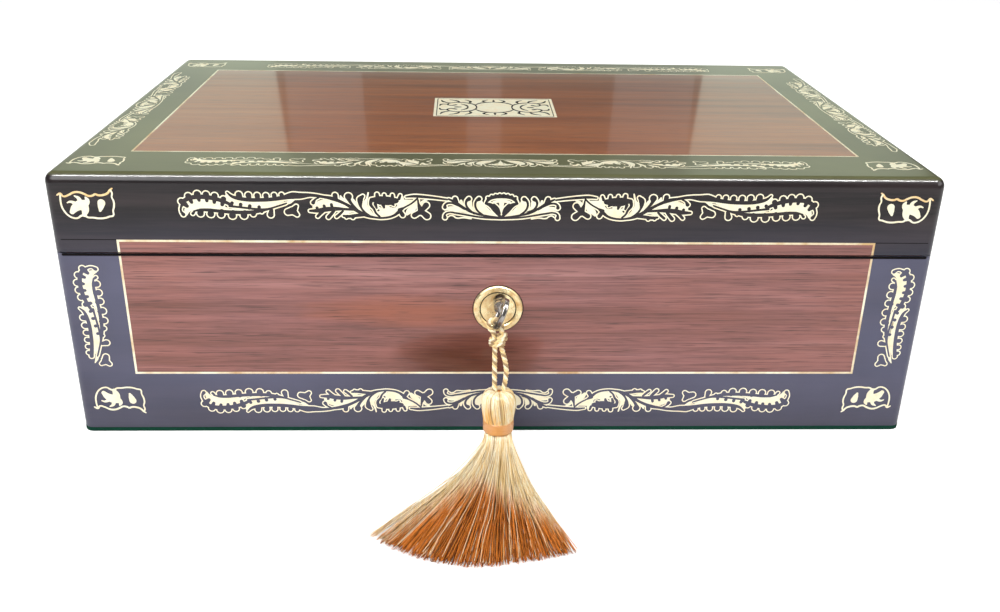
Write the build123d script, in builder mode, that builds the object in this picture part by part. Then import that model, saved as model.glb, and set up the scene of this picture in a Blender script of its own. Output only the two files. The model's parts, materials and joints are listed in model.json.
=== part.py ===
from build123d import *
from math import atan2, cos, degrees, radians, sin, tan
import os

# Writing slope: a veneered and brass inlaid box, cut on the slant, whose lid folds back
# level with the table so that both leather lined flaps make one sloping writing surface.
# Millimetres. Origin at the centre of the underside, front towards -Y, up is +Z.

# Overall sizes
width = 356.0
depth = 229.0
height = 115.0
front_seam_height = 82.3
baize_thickness = 1.5
baize_inset = 2.3
edge_radius = 4.0
corner_radius = 4.2

# Carcase boards
wall = 9.0
base_thickness = 7.0
top_thickness = 9.0
seam_gap = 0.5

# Veneers, stringing and plaque
veneer = 0.8
string_width = 0.9
side_border = 25.4
panel_bottom = 27.8
panel_above_seam = 5.6
top_border = 31.5
plaque_width = 59.0
plaque_depth = 38.0

# Butt hinges of the lid
axis_setback = 0.4
hinge_spread = 220.0
hinge_length = 40.0
leaf_width = 8.0
leaf_thickness = 1.2
knuckle_radius = 2.2
knuckle_relief = 0.3
knuckle_gap = 0.2
pin_radius = 0.8
pin_clearance = 0.05

# Countersunk screws
screw_head_radius = 1.6
screw_head_depth = 0.9
screw_radius = 0.8
screw_length = 6.0
screw_pitch = 14.0

# Pen and ink section behind the front wall
section_depth = 53.5
partition_thickness = 5.0
ink_width = 48.0
divider_thickness = 4.0
tray_fit = 0.3
tray_top_drop = 6.0
tray_height = 24.0
tray_trough_radius = 27.0
tray_trough_depth = 15.0
bearer_width = 8.0
inkwell_size = 38.0
inkwell_body = 34.0
inkwell_neck_radius = 12.0
inkwell_neck = 5.0
inkwell_bore = 10.0
inkwell_floor = 5.0
inkwell_corner = 5.0
inkwell_shoulder = 3.5
cap_radius = 14.5
cap_height = 9.0
cap_fit = 0.3
ink_floor = 19.5

# Writing flaps, their leather and the ledges that they rest on
flap_thickness = 6.0
flap_fit = 0.4
leather = 0.6
leather_drop = 0.15
leather_margin = 4.0
ledge_width = 5.0
ledge_thickness = 4.0
flap_hinge_length = 20.0
flap_hinge_reach = 5.0
flap_hinge_plate = 0.8

# Box lock, its staples, bolt and key
lock_width = 52.0
lock_height = 32.0
lock_plate = 1.0
lock_cheek = 2.2
selvage_thickness = 1.4
key_drop = 19.9
key_rest_angle = 16.0
staple_offset = 12.0
staple_thickness = 2.0
staple_width = 3.4
staple_drop = 7.6
staple_fit = 0.3
bolt_thickness = 1.6
bolt_bar_height = 2.4
bolt_bar_drop = 11.3
prong_drop = 6.3
prong_height = 2.5
prong_length = 3.2
prong_gap = 0.5
arm_width = 2.0
guide_radius = 0.9
guide_gap = 0.3
shank_radius = 1.7
shank_fit = 0.3
bit_radius = 6.5
bit_width = 3.2
bit_thickness = 1.4
drill_pin_radius = 0.7
drill_pin_fit = 0.06
bow_lean = 22.0
bow_centre = 14.2
bow_length = 12.0
bow_height = 13.5
bow_section = 2.1
bow_round = 0.6
collar_radius = 2.7
collar_length = 1.6

# Escutcheon round the keyhole
escutcheon_drop = 4.1
escutcheon_shift = -0.7
escutcheon_radius = 10.2
escutcheon_bore = 7.6
escutcheon_proud = 1.1
plate_proud = 0.4
keyhole_radius = 2.6
keyhole_slot = 1.8
keyhole_reach = 10.0

# Turn catches that hold the lid's flap shut
catch_offset = 95.0
catch_length = 9.6
catch_width = 4.0
catch_thickness = 1.0
catch_sink = 0.3
catch_pocket_fit = 0.3
catch_pivot_inset = 3.0
catch_pivot_radius = 1.0
catch_pivot_length = 4.0

# Tassel on the key's bow
tassel_y = -132.0
tassel_x = -0.4
cord_diameter = 2.2
head_radius = 7.15
head_base = 16.5
head_top = 29.4
head_neck_radius = 3.9
trough_radius = 2.0
band_radius = 6.3
band_height = 5.3
hitch_base = 50.2
hitch_height = 3.2
hitch_fit = 0.08
skirt_clearance = 0.3

# Slanting cut
half_width = width / 2
half_depth = depth / 2
hinge_y = half_depth + axis_setback
hinge_z = height / 2
slope_angle = atan2(front_seam_height - hinge_z, depth + axis_setback)
slope = Plane(origin=(0, hinge_y, hinge_z), x_dir=(1, 0, 0), z_dir=(0, sin(slope_angle), cos(slope_angle)))
case_rim = slope.offset(-seam_gap / 2)
lid_rim = Plane(
    origin=(0, hinge_y, hinge_z), x_dir=(1, 0, 0), z_dir=(0, -sin(slope_angle), -cos(slope_angle))
).offset(-seam_gap / 2)
front_face = Plane.XZ.offset(half_depth)
top_face = Plane.XY.offset(height)

# Inner faces of the carcase
inner_x = half_width - wall
inner_y = half_depth - wall
base_top = baize_thickness + base_thickness
lid_ceiling = height - top_thickness
section_back = -inner_y + section_depth
flap_front = section_back + partition_thickness

# Heights on the front, from the cut
panel_top = front_seam_height + panel_above_seam
key_height = front_seam_height - key_drop
bolt_bar_base = front_seam_height - bolt_bar_drop
prong_base = front_seam_height - prong_drop

# Lock planes, from the mortise in the front wall
lock_front = -half_depth + lock_cheek
lock_back = -inner_y
lock_middle = (lock_front + lock_back) / 2
lock_top = front_seam_height - 2.0
lock_bottom = lock_top - lock_height


def seam_at(y):
    """Height of the slanting cut above the table at a place from front to back."""
    return hinge_z + (hinge_y - y) * tan(slope_angle)


def along_slope(y):
    """Distance down the slanting cut from the hinge axis to a place from front to back."""
    return (hinge_y - y) / cos(slope_angle)


def slanted(front, back, upper, lower):
    """Corners of a board seen from its side that lies along the cut, between two offsets from it."""
    return [
        (front, seam_at(front) + lower),
        (back, seam_at(back) + lower),
        (back, seam_at(back) + upper),
        (front, seam_at(front) + upper),
    ]


def front_outline():
    """Mitred plan of the front wall."""
    return [(-half_width, -half_depth), (half_width, -half_depth), (inner_x, -inner_y), (-inner_x, -inner_y)]


def side_outline():
    """Mitred plan of the right wall."""
    return [(half_width, -half_depth), (half_width, half_depth), (inner_x, inner_y), (inner_x, -inner_y)]


nodes = {}


def keep(name, builder):
    """Label a finished piece and hold it for export."""
    builder.part.label = name
    nodes[name] = builder.part


# Whole closed box, and its two halves either side of the cut
with BuildPart() as envelope:
    with BuildSketch(Plane.XY.offset(baize_thickness)):
        RectangleRounded(width, depth, corner_radius)
    extrude(amount=height - baize_thickness)
    fillet(envelope.faces().sort_by(Axis.Z)[-1].edges(), edge_radius)

with BuildPart() as lower_half:
    add(envelope.part)
    split(bisect_by=case_rim, keep=Keep.BOTTOM)

with BuildPart() as upper_half:
    add(envelope.part)
    split(bisect_by=lid_rim, keep=Keep.BOTTOM)

# Screws of the lid's hinges, in the rims of both back walls
screw_places = []
for side in (-1, 1):
    for step in (-1, 0, 1):
        screw_places.append((side * hinge_spread / 2 + step * screw_pitch, leaf_width * 0.62))

with BuildPart(case_rim) as case_hinge_screws:
    with Locations(*[(x, -y) for x, y in screw_places]):
        Cone(screw_radius, screw_head_radius, screw_head_depth, align=(Align.CENTER, Align.CENTER, Align.MAX))
        Cylinder(screw_radius, screw_length, align=(Align.CENTER, Align.CENTER, Align.MAX))
keep("case_hinge_screws", case_hinge_screws)

with BuildPart(lid_rim) as lid_hinge_screws:
    with Locations(*screw_places):
        Cone(screw_radius, screw_head_radius, screw_head_depth, align=(Align.CENTER, Align.CENTER, Align.MAX))
        Cylinder(screw_radius, screw_length, align=(Align.CENTER, Align.CENTER, Align.MAX))
keep("lid_hinge_screws", lid_hinge_screws)

# Hinge knuckles: the case carries the outer two of three, the lid the middle one
hinge_line = Plane(origin=(0, hinge_y, hinge_z), x_dir=(0, 1, 0), z_dir=(1, 0, 0))
knuckle_length = (hinge_length - 2 * knuckle_gap) / 3
outer_knuckle = (knuckle_length + knuckle_gap)

with BuildPart() as case_hinge_leaves:
    for side in (-1, 1):
        centre = side * hinge_spread / 2
        with BuildSketch(case_rim):
            with Locations((centre, -leaf_width / 2)):
                Rectangle(hinge_length, leaf_width)
        extrude(amount=-leaf_thickness)
        with BuildSketch(hinge_line.offset(centre - hinge_length / 2)):
            Circle(knuckle_radius)
        extrude(amount=hinge_length)
        with BuildSketch(hinge_line.offset(centre - knuckle_length / 2 - knuckle_gap)):
            Circle(knuckle_radius + knuckle_relief)
        extrude(amount=knuckle_length + 2 * knuckle_gap, mode=Mode.SUBTRACT)
        with BuildSketch(hinge_line.offset(centre - hinge_length / 2)):
            Circle(pin_radius + pin_clearance)
        extrude(amount=hinge_length, mode=Mode.SUBTRACT)
    add(case_hinge_screws.part, mode=Mode.SUBTRACT)
keep("case_hinge_leaves", case_hinge_leaves)

with BuildPart() as lid_hinge_leaves:
    for side in (-1, 1):
        centre = side * hinge_spread / 2
        with BuildSketch(lid_rim):
            with Locations((centre, leaf_width / 2)):
                Rectangle(hinge_length, leaf_width)
        extrude(amount=-leaf_thickness)
        for end in (-1, 1):
            with BuildSketch(hinge_line.offset(centre + end * outer_knuckle - hinge_length / 6)):
                Circle(knuckle_radius + knuckle_relief)
            extrude(amount=hinge_length / 3, mode=Mode.SUBTRACT)
        with BuildSketch(hinge_line.offset(centre - knuckle_length / 2)):
            Circle(knuckle_radius)
        extrude(amount=knuckle_length)
        with BuildSketch(hinge_line.offset(centre - hinge_length / 2)):
            Circle(pin_radius + pin_clearance)
        extrude(amount=hinge_length, mode=Mode.SUBTRACT)
    add(lid_hinge_screws.part, mode=Mode.SUBTRACT)
keep("lid_hinge_leaves", lid_hinge_leaves)

with BuildPart() as hinge_pins:
    for side in (-1, 1):
        with BuildSketch(hinge_line.offset(side * hinge_spread / 2 - hinge_length / 2)):
            Circle(pin_radius)
        extrude(amount=hinge_length)
keep("hinge_pins", hinge_pins)

# Space that the leaves and knuckles need in both back walls
with BuildPart() as hinge_housing:
    for side in (-1, 1):
        centre = side * hinge_spread / 2
        for rim, way in ((case_rim, -1), (lid_rim, 1)):
            with BuildSketch(rim):
                with Locations((centre, way * leaf_width / 2)):
                    Rectangle(hinge_length, leaf_width)
            extrude(amount=-leaf_thickness)
        with BuildSketch(hinge_line.offset(centre - hinge_length / 2 - knuckle_relief)):
            Circle(knuckle_radius + knuckle_relief)
        extrude(amount=hinge_length + 2 * knuckle_relief)

# Lock screws, driven forward through the cap
lock_inner = Plane(origin=(0, lock_back, lock_bottom), x_dir=(-1, 0, 0), z_dir=(0, 1, 0))
lock_screw_places = [(x, z) for x in (-21, 21) for z in (4, 24)]
with BuildPart(lock_inner) as lock_screws:
    with Locations(*lock_screw_places):
        Cone(screw_radius, screw_head_radius, screw_head_depth, align=(Align.CENTER, Align.CENTER, Align.MAX))
        Cylinder(screw_radius, wall - 1.0, align=(Align.CENTER, Align.CENTER, Align.MAX))
keep("lock_screws", lock_screws)

# Screws of the link plate, up into the lid's front wall
staple_y = lock_middle + 0.5
link_y = along_slope(staple_y)
with BuildPart(lid_rim) as link_screws:
    with Locations((-18, link_y), (18, link_y), (0, link_y)):
        Cone(screw_radius, screw_head_radius, screw_head_depth, align=(Align.CENTER, Align.CENTER, Align.MAX))
        Cylinder(screw_radius, screw_length, align=(Align.CENTER, Align.CENTER, Align.MAX))
keep("link_screws", link_screws)

# Mortise for the lock in the front wall, and the keyhole through it
key_front = Plane(origin=(0, -half_depth, key_height), x_dir=(1, 0, 0), z_dir=(0, -1, 0))
with BuildPart() as lock_mortise:
    with BuildSketch(Plane(origin=(0, lock_front, 0), x_dir=(-1, 0, 0), z_dir=(0, 1, 0))):
        with Locations((0, lock_bottom)):
            Rectangle(lock_width, height, align=(Align.CENTER, Align.MIN))
    extrude(amount=lock_back - lock_front)
    with BuildSketch(key_front):
        Circle(keyhole_radius)
        Rectangle(keyhole_slot + 0.4, bit_radius + 0.5, align=(Align.CENTER, Align.MAX))
    extrude(amount=-lock_cheek)

# Shallow bed for the front veneer and its stringing, crossing the cut
panel_half = half_width - side_border
with BuildPart() as front_bed:
    with BuildSketch(front_face):
        with Locations((0, panel_bottom)):
            Rectangle(2 * panel_half, panel_top - panel_bottom, align=(Align.CENTER, Align.MIN))
    extrude(amount=-veneer)

with BuildPart() as top_bed:
    with BuildSketch(top_face):
        Rectangle(2 * panel_half, depth - 2 * top_border)
    extrude(amount=-veneer)

# Carcase walls of the case, mitred at the corners
with BuildPart() as case_front:
    with BuildSketch():
        Polygon(*front_outline(), align=None)
    extrude(amount=height)
    add(lower_half.part, mode=Mode.INTERSECT)
    add(front_bed.part, mode=Mode.SUBTRACT)
    add(lock_mortise.part, mode=Mode.SUBTRACT)
    add(lock_screws.part, mode=Mode.SUBTRACT)
keep("case_front", case_front)

with BuildPart() as case_back:
    with BuildSketch():
        Polygon(*front_outline(), align=None)
        mirror(about=Plane.XZ, mode=Mode.REPLACE)
    extrude(amount=height)
    add(lower_half.part, mode=Mode.INTERSECT)
    add(hinge_housing.part, mode=Mode.SUBTRACT)
    add(case_hinge_screws.part, mode=Mode.SUBTRACT)
keep("case_back", case_back)

with BuildPart() as case_right:
    with BuildSketch():
        Polygon(*side_outline(), align=None)
    extrude(amount=height)
    add(lower_half.part, mode=Mode.INTERSECT)
keep("case_right", case_right)

with BuildPart() as case_left:
    add(case_right.part)
    mirror(about=Plane.YZ, mode=Mode.REPLACE)
keep("case_left", case_left)

with BuildPart() as base_board:
    with BuildSketch(Plane.XY.offset(baize_thickness)):
        Rectangle(2 * inner_x, 2 * inner_y)
    extrude(amount=base_thickness)
keep("base_board", base_board)

with BuildPart() as base_baize:
    with BuildSketch():
        RectangleRounded(width - 2 * baize_inset, depth - 2 * baize_inset, corner_radius)
    extrude(amount=baize_thickness)
keep("base_baize", base_baize)

# Front veneer and brass stringing of the case, level with the wall's face
with BuildPart() as lower_bed:
    add(front_bed.part)
    split(bisect_by=case_rim, keep=Keep.BOTTOM)

with BuildPart() as case_front_panel:
    with BuildSketch(front_face):
        with Locations((0, panel_bottom + string_width)):
            Rectangle(2 * (panel_half - string_width), height, align=(Align.CENTER, Align.MIN))
        with Locations((0, key_height)):
            Circle(keyhole_radius, mode=Mode.SUBTRACT)
            Rectangle(
                keyhole_slot + 0.4, bit_radius + 0.5, align=(Align.CENTER, Align.MAX), mode=Mode.SUBTRACT
            )
    extrude(amount=-veneer)
    add(lower_bed.part, mode=Mode.INTERSECT)
keep("case_front_panel", case_front_panel)

with BuildPart() as case_stringing:
    add(lower_bed.part)
    with BuildSketch(front_face):
        with Locations((0, panel_bottom + string_width)):
            Rectangle(2 * (panel_half - string_width), height, align=(Align.CENTER, Align.MIN))
    extrude(amount=-veneer, mode=Mode.SUBTRACT)
keep("case_stringing", case_stringing)

# Escutcheon: a domed ring round a flat plate with the keyhole
escutcheon_plane = Plane(
    origin=(escutcheon_shift, -half_depth, key_height - escutcheon_drop), x_dir=(1, 0, 0), z_dir=(0, -1, 0)
)
with BuildPart() as escutcheon_ring:
    with BuildSketch(escutcheon_plane):
        Circle(escutcheon_radius)
        Circle(escutcheon_bore, mode=Mode.SUBTRACT)
    extrude(amount=escutcheon_proud)
    fillet(escutcheon_ring.faces().sort_by(Axis.Y)[0].edges(), 0.9)
keep("escutcheon_ring", escutcheon_ring)

with BuildPart() as escutcheon_plate:
    with BuildSketch(escutcheon_plane):
        Circle(escutcheon_bore)
        with Locations((-escutcheon_shift, escutcheon_drop)):
            Circle(keyhole_radius, mode=Mode.SUBTRACT)
            Rectangle(
                keyhole_slot, keyhole_reach, align=(Align.CENTER, Align.MAX), mode=Mode.SUBTRACT
            )
    extrude(amount=plate_proud)
keep("escutcheon_plate", escutcheon_plate)

# Box lock in the mortise: open topped case, cap with drill pin, and the selvage over both
under_selvage = case_rim.offset(-selvage_thickness)
cavity_front = lock_front + lock_plate
cavity_back = lock_back - lock_plate
key_axis = Plane(origin=(0, lock_front, key_height), x_dir=(1, 0, 0), z_dir=(0, -1, 0))
arm_right = staple_offset + staple_thickness / 2 + prong_gap + prong_length
arm_left = arm_right - 2 * staple_offset
guide_height = bolt_bar_base - guide_gap - guide_radius

with BuildPart() as lock_case:
    with BuildSketch(Plane.XY.offset(lock_bottom)):
        with Locations((0, lock_front)):
            Rectangle(lock_width, cavity_back - lock_front, align=(Align.CENTER, Align.MIN))
    extrude(amount=height - lock_bottom)
    with BuildSketch(Plane.XY.offset(lock_bottom + lock_plate)):
        with Locations((0, cavity_front)):
            Rectangle(lock_width - 2 * lock_plate, wall, align=(Align.CENTER, Align.MIN))
    extrude(amount=height, mode=Mode.SUBTRACT)
    split(bisect_by=under_selvage, keep=Keep.BOTTOM)
    with BuildSketch(key_axis):
        Circle(shank_radius + shank_fit)
        Rectangle(bit_thickness + 2 * shank_fit, bit_radius + shank_fit, align=(Align.CENTER, Align.MAX))
    extrude(amount=-lock_plate, mode=Mode.SUBTRACT)
    with BuildSketch(Plane(origin=(0, cavity_front, guide_height), x_dir=(1, 0, 0), z_dir=(0, 1, 0))):
        with Locations((arm_left + 4, 0), (arm_right - 4, 0)):
            Circle(guide_radius)
    extrude(amount=cavity_back - cavity_front)
    add(lock_screws.part, mode=Mode.SUBTRACT)
keep("lock_case", lock_case)

with BuildPart() as lock_cap:
    with BuildSketch(Plane.XY.offset(lock_bottom)):
        with Locations((0, cavity_back)):
            Rectangle(lock_width, lock_plate, align=(Align.CENTER, Align.MIN))
    extrude(amount=height - lock_bottom)
    split(bisect_by=under_selvage, keep=Keep.BOTTOM)
    add(lock_screws.part, mode=Mode.SUBTRACT)
keep("lock_cap", lock_cap)

with BuildPart() as drill_pin:
    with BuildSketch(Plane(origin=(0, cavity_back, key_height), x_dir=(1, 0, 0), z_dir=(0, -1, 0))):
        Circle(drill_pin_radius)
    extrude(amount=cavity_back - cavity_front)
keep("drill_pin", drill_pin)

selvage_y = -along_slope(lock_middle)
with BuildPart() as selvage:
    with BuildSketch(case_rim):
        with Locations((0, selvage_y)):
            Rectangle(lock_width, lock_back - lock_front)
            with Locations((-staple_offset, 0), (staple_offset, 0)):
                Rectangle(
                    staple_thickness + 2 * staple_fit, staple_width + 1.2, mode=Mode.SUBTRACT
                )
    extrude(amount=-selvage_thickness)
    add(case_front.part, mode=Mode.SUBTRACT)
keep("selvage", selvage)

# Link plate in the lid's rim with its two eyed staples
with BuildPart() as link_plate:
    with BuildSketch(lid_rim):
        with Locations((0, link_y)):
            Rectangle(lock_width - 8, lock_back - lock_front - 1)
    extrude(amount=-selvage_thickness)
    with BuildSketch(lid_rim):
        with Locations((-staple_offset, link_y), (staple_offset, link_y)):
            Rectangle(staple_thickness, staple_width)
    extrude(amount=staple_drop)
    eye = Plane(origin=(0, lock_middle, prong_base + prong_height / 2), x_dir=(0, 1, 0), z_dir=(1, 0, 0))
    with BuildSketch(eye):
        Rectangle(bolt_thickness + 2 * staple_fit, prong_height + 2 * staple_fit)
    extrude(amount=lock_width / 2, both=True, mode=Mode.SUBTRACT)
    add(link_screws.part, mode=Mode.SUBTRACT)
keep("link_plate", link_plate)

# Bolt with two prongs that slide through the staples
bolt_plane = Plane(origin=(0, lock_middle - bolt_thickness / 2, 0), x_dir=(-1, 0, 0), z_dir=(0, 1, 0))
with BuildPart() as lock_bolt:
    with BuildSketch(bolt_plane):
        with Locations((-arm_right - arm_width, bolt_bar_base)):
            Rectangle(arm_right - arm_left + arm_width, bolt_bar_height, align=Align.MIN)
        for arm in (arm_left, arm_right):
            with Locations((-arm, bolt_bar_base)):
                Rectangle(
                    arm_width, prong_base + prong_height - bolt_bar_base, align=(Align.MAX, Align.MIN)
                )
            with Locations((-arm, prong_base)):
                Rectangle(prong_length, prong_height, align=Align.MIN)
    extrude(amount=bolt_thickness)
keep("lock_bolt", lock_bolt)

# Walls and top of the lid
with BuildPart() as lid_top:
    with BuildSketch(Plane.XY.offset(lid_ceiling)):
        Rectangle(width, depth)
    extrude(amount=top_thickness)
    add(upper_half.part, mode=Mode.INTERSECT)
    add(top_bed.part, mode=Mode.SUBTRACT)
keep("lid_top", lid_top)

catch_front = -inner_y - catch_pivot_inset
catch_y = along_slope(catch_front)
with BuildPart() as catch_pockets:
    with BuildSketch(lid_rim):
        with Locations((-catch_offset, catch_y), (catch_offset, catch_y)):
            Circle(catch_length / 2 + catch_pocket_fit)
    extrude(amount=-catch_sink - catch_thickness - catch_sink)
    with BuildSketch(lid_rim):
        with Locations((-catch_offset, catch_y), (catch_offset, catch_y)):
            Circle(catch_pivot_radius + pin_clearance)
    extrude(amount=-catch_sink - catch_thickness - catch_pivot_length)

with BuildPart() as lid_front:
    with BuildSketch():
        Polygon(*front_outline(), align=None)
    extrude(amount=lid_ceiling)
    add(upper_half.part, mode=Mode.INTERSECT)
    add(front_bed.part, mode=Mode.SUBTRACT)
    with BuildSketch(lid_rim):
        with Locations((0, link_y)):
            Rectangle(lock_width - 8, lock_back - lock_front - 1)
    extrude(amount=-selvage_thickness, mode=Mode.SUBTRACT)
    add(link_screws.part, mode=Mode.SUBTRACT)
    add(catch_pockets.part, mode=Mode.SUBTRACT)
keep("lid_front", lid_front)

with BuildPart() as lid_back:
    with BuildSketch():
        Polygon(*front_outline(), align=None)
        mirror(about=Plane.XZ, mode=Mode.REPLACE)
    extrude(amount=lid_ceiling)
    add(upper_half.part, mode=Mode.INTERSECT)
    add(hinge_housing.part, mode=Mode.SUBTRACT)
    add(lid_hinge_screws.part, mode=Mode.SUBTRACT)
keep("lid_back", lid_back)

with BuildPart() as lid_right:
    with BuildSketch():
        Polygon(*side_outline(), align=None)
    extrude(amount=lid_ceiling)
    add(upper_half.part, mode=Mode.INTERSECT)
keep("lid_right", lid_right)

with BuildPart() as lid_left:
    add(lid_right.part)
    mirror(about=Plane.YZ, mode=Mode.REPLACE)
keep("lid_left", lid_left)

# Veneer, stringing and plaque of the lid
with BuildPart() as upper_bed:
    add(front_bed.part)
    split(bisect_by=lid_rim, keep=Keep.BOTTOM)

with BuildPart() as lid_front_panel:
    with BuildSketch(front_face):
        with Locations((0, panel_top - string_width)):
            Rectangle(2 * (panel_half - string_width), height, align=(Align.CENTER, Align.MAX))
    extrude(amount=-veneer)
    add(upper_bed.part, mode=Mode.INTERSECT)
keep("lid_front_panel", lid_front_panel)

with BuildPart() as lid_front_stringing:
    add(upper_bed.part)
    add(lid_front_panel.part, mode=Mode.SUBTRACT)
keep("lid_front_stringing", lid_front_stringing)

with BuildPart() as plaque:
    with BuildSketch(top_face):
        Rectangle(plaque_width, plaque_depth)
    extrude(amount=-veneer)
keep("plaque", plaque)

with BuildPart() as top_panel:
    with BuildSketch(top_face):
        Rectangle(2 * (panel_half - string_width), depth - 2 * (top_border + string_width))
        Rectangle(plaque_width, plaque_depth, mode=Mode.SUBTRACT)
    extrude(amount=-veneer)
keep("top_panel", top_panel)

with BuildPart() as top_stringing:
    with BuildSketch(top_face):
        Rectangle(2 * panel_half, depth - 2 * top_border)
        Rectangle(
            2 * (panel_half - string_width), depth - 2 * (top_border + string_width), mode=Mode.SUBTRACT
        )
    extrude(amount=-veneer)
keep("top_stringing", top_stringing)

# Turn catches, each one bar and pivot, crosswise over the flap's edge at rest
for side, name in ((-1, "catch_left"), (1, "catch_right")):
    with BuildPart() as catch:
        with BuildSketch(lid_rim.offset(-catch_sink - catch_thickness)):
            with Locations((side * catch_offset, catch_y)):
                SlotOverall(catch_length, catch_width, rotation=90)
        extrude(amount=catch_thickness)
        with BuildSketch(lid_rim.offset(-catch_sink - catch_thickness)):
            with Locations((side * catch_offset, catch_y)):
                Circle(catch_pivot_radius)
        extrude(amount=-catch_pivot_length + catch_sink)
    keep(name, catch)

# Writing flaps: boards in the cut's plane, seated on ledges round the inside
board_top = -seam_gap / 2 - leather - leather_drop
board_bottom = board_top - flap_thickness
ledge_bottom = board_bottom - ledge_thickness
flap_half = inner_x - flap_fit

# The flap hinges are small butts let into the boards at the back
with BuildPart() as case_flap_hinges:
    for side in (-1, 1):
        with BuildSketch(Plane.YZ.offset(side * hinge_spread / 2 - flap_hinge_length / 2)):
            Polygon(
                *slanted(inner_y - flap_hinge_reach, inner_y, board_top, board_top - flap_hinge_plate),
                align=None,
            )
        extrude(amount=flap_hinge_length)
keep("case_flap_hinges", case_flap_hinges)

with BuildPart() as lid_flap_hinges:
    for side in (-1, 1):
        with BuildSketch(Plane.YZ.offset(side * hinge_spread / 2 - flap_hinge_length / 2)):
            Polygon(
                *slanted(inner_y - flap_hinge_reach, inner_y, -board_top + flap_hinge_plate, -board_top),
                align=None,
            )
        extrude(amount=flap_hinge_length)
keep("lid_flap_hinges", lid_flap_hinges)

with BuildPart() as case_flap:
    with BuildSketch(Plane.YZ):
        Polygon(*slanted(flap_front + flap_fit, inner_y - flap_fit, board_top, board_bottom), align=None)
    extrude(amount=flap_half, both=True)
    add(case_flap_hinges.part, mode=Mode.SUBTRACT)
keep("case_flap", case_flap)

with BuildPart() as case_leather:
    with BuildSketch(Plane.YZ):
        Polygon(
            *slanted(
                flap_front + flap_fit + leather_margin,
                inner_y - flap_fit - flap_hinge_reach - leather_margin,
                board_top + leather,
                board_top,
            ),
            align=None,
        )
    extrude(amount=flap_half - leather_margin, both=True)
keep("case_leather", case_leather)

with BuildPart() as case_ledges:
    for side in (-1, 1):
        with BuildSketch(Plane.YZ.offset(side * (inner_x - ledge_width / 2))):
            Polygon(*slanted(flap_front, inner_y, board_bottom, ledge_bottom), align=None)
        extrude(amount=ledge_width / 2, both=True)
keep("case_ledges", case_ledges)

with BuildPart() as lid_flap:
    with BuildSketch(Plane.YZ):
        Polygon(*slanted(-inner_y + flap_fit, inner_y - flap_fit, -board_bottom, -board_top), align=None)
    extrude(amount=flap_half, both=True)
    add(lid_flap_hinges.part, mode=Mode.SUBTRACT)
    add(catch_pockets.part, mode=Mode.SUBTRACT)
keep("lid_flap", lid_flap)

leather_front = -inner_y + flap_fit + leather_margin
with BuildPart() as lid_leather:
    with BuildSketch(Plane.YZ):
        Polygon(
            *slanted(
                leather_front,
                inner_y - flap_fit - flap_hinge_reach - leather_margin,
                -board_top,
                -board_top - leather,
            ),
            align=None,
        )
    extrude(amount=flap_half - leather_margin, both=True)
keep("lid_leather", lid_leather)

with BuildPart() as lid_ledges:
    for side in (-1, 1):
        with BuildSketch(Plane.YZ.offset(side * (inner_x - ledge_width / 2))):
            Polygon(*slanted(-inner_y, inner_y, -ledge_bottom, -board_bottom), align=None)
        extrude(amount=ledge_width / 2, both=True)
keep("lid_ledges", lid_ledges)

# Pen and ink section: partition, dividers, pen tray on bearers, and two inkwells
with BuildPart() as partition:
    with BuildSketch(Plane.YZ):
        Polygon(
            (section_back, base_top),
            (flap_front, base_top),
            (flap_front, seam_at(flap_front) - seam_gap),
            (section_back, seam_at(section_back) - seam_gap),
            align=None,
        )
    extrude(amount=inner_x, both=True)
keep("partition", partition)

divider_x = inner_x - ink_width - divider_thickness / 2
for side, name in ((-1, "ink_divider_left"), (1, "ink_divider_right")):
    with BuildPart() as divider:
        with BuildSketch(Plane.YZ.offset(side * divider_x)):
            Polygon(
                (-inner_y, base_top),
                (section_back, base_top),
                (section_back, seam_at(section_back) - seam_gap),
                (-inner_y, seam_at(-inner_y) - seam_gap),
                align=None,
            )
        extrude(amount=divider_thickness / 2, both=True)
    keep(name, divider)

tray_half = divider_x - divider_thickness / 2 - tray_fit
tray_top = seam_at(section_back) - tray_top_drop
tray_base = tray_top - tray_height
section_middle = -inner_y + section_depth / 2
with BuildPart() as pen_tray:
    with BuildSketch(Plane.YZ):
        with Locations((section_middle, tray_base)):
            Rectangle(section_depth - 2 * tray_fit, tray_height, align=(Align.CENTER, Align.MIN))
    extrude(amount=tray_half, both=True)
    with BuildSketch(Plane.YZ):
        with Locations((section_middle, tray_top - tray_trough_depth + tray_trough_radius)):
            Circle(tray_trough_radius)
    extrude(amount=tray_half - divider_thickness, both=True, mode=Mode.SUBTRACT)
keep("pen_tray", pen_tray)

with BuildPart() as tray_bearers:
    with BuildSketch(Plane.XY.offset(base_top)):
        for side in (-1, 1):
            with Locations((side * (divider_x - divider_thickness / 2 - bearer_width / 2), section_middle)):
                Rectangle(bearer_width, section_depth)
    extrude(amount=tray_base - base_top)
keep("tray_bearers", tray_bearers)

with BuildPart() as ink_bearers:
    with BuildSketch(Plane.XY.offset(base_top)):
        for side in (-1, 1):
            with Locations((side * (inner_x - ink_width / 2), section_middle)):
                Rectangle(ink_width, section_depth)
    extrude(amount=ink_floor)
keep("ink_bearers", ink_bearers)

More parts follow.
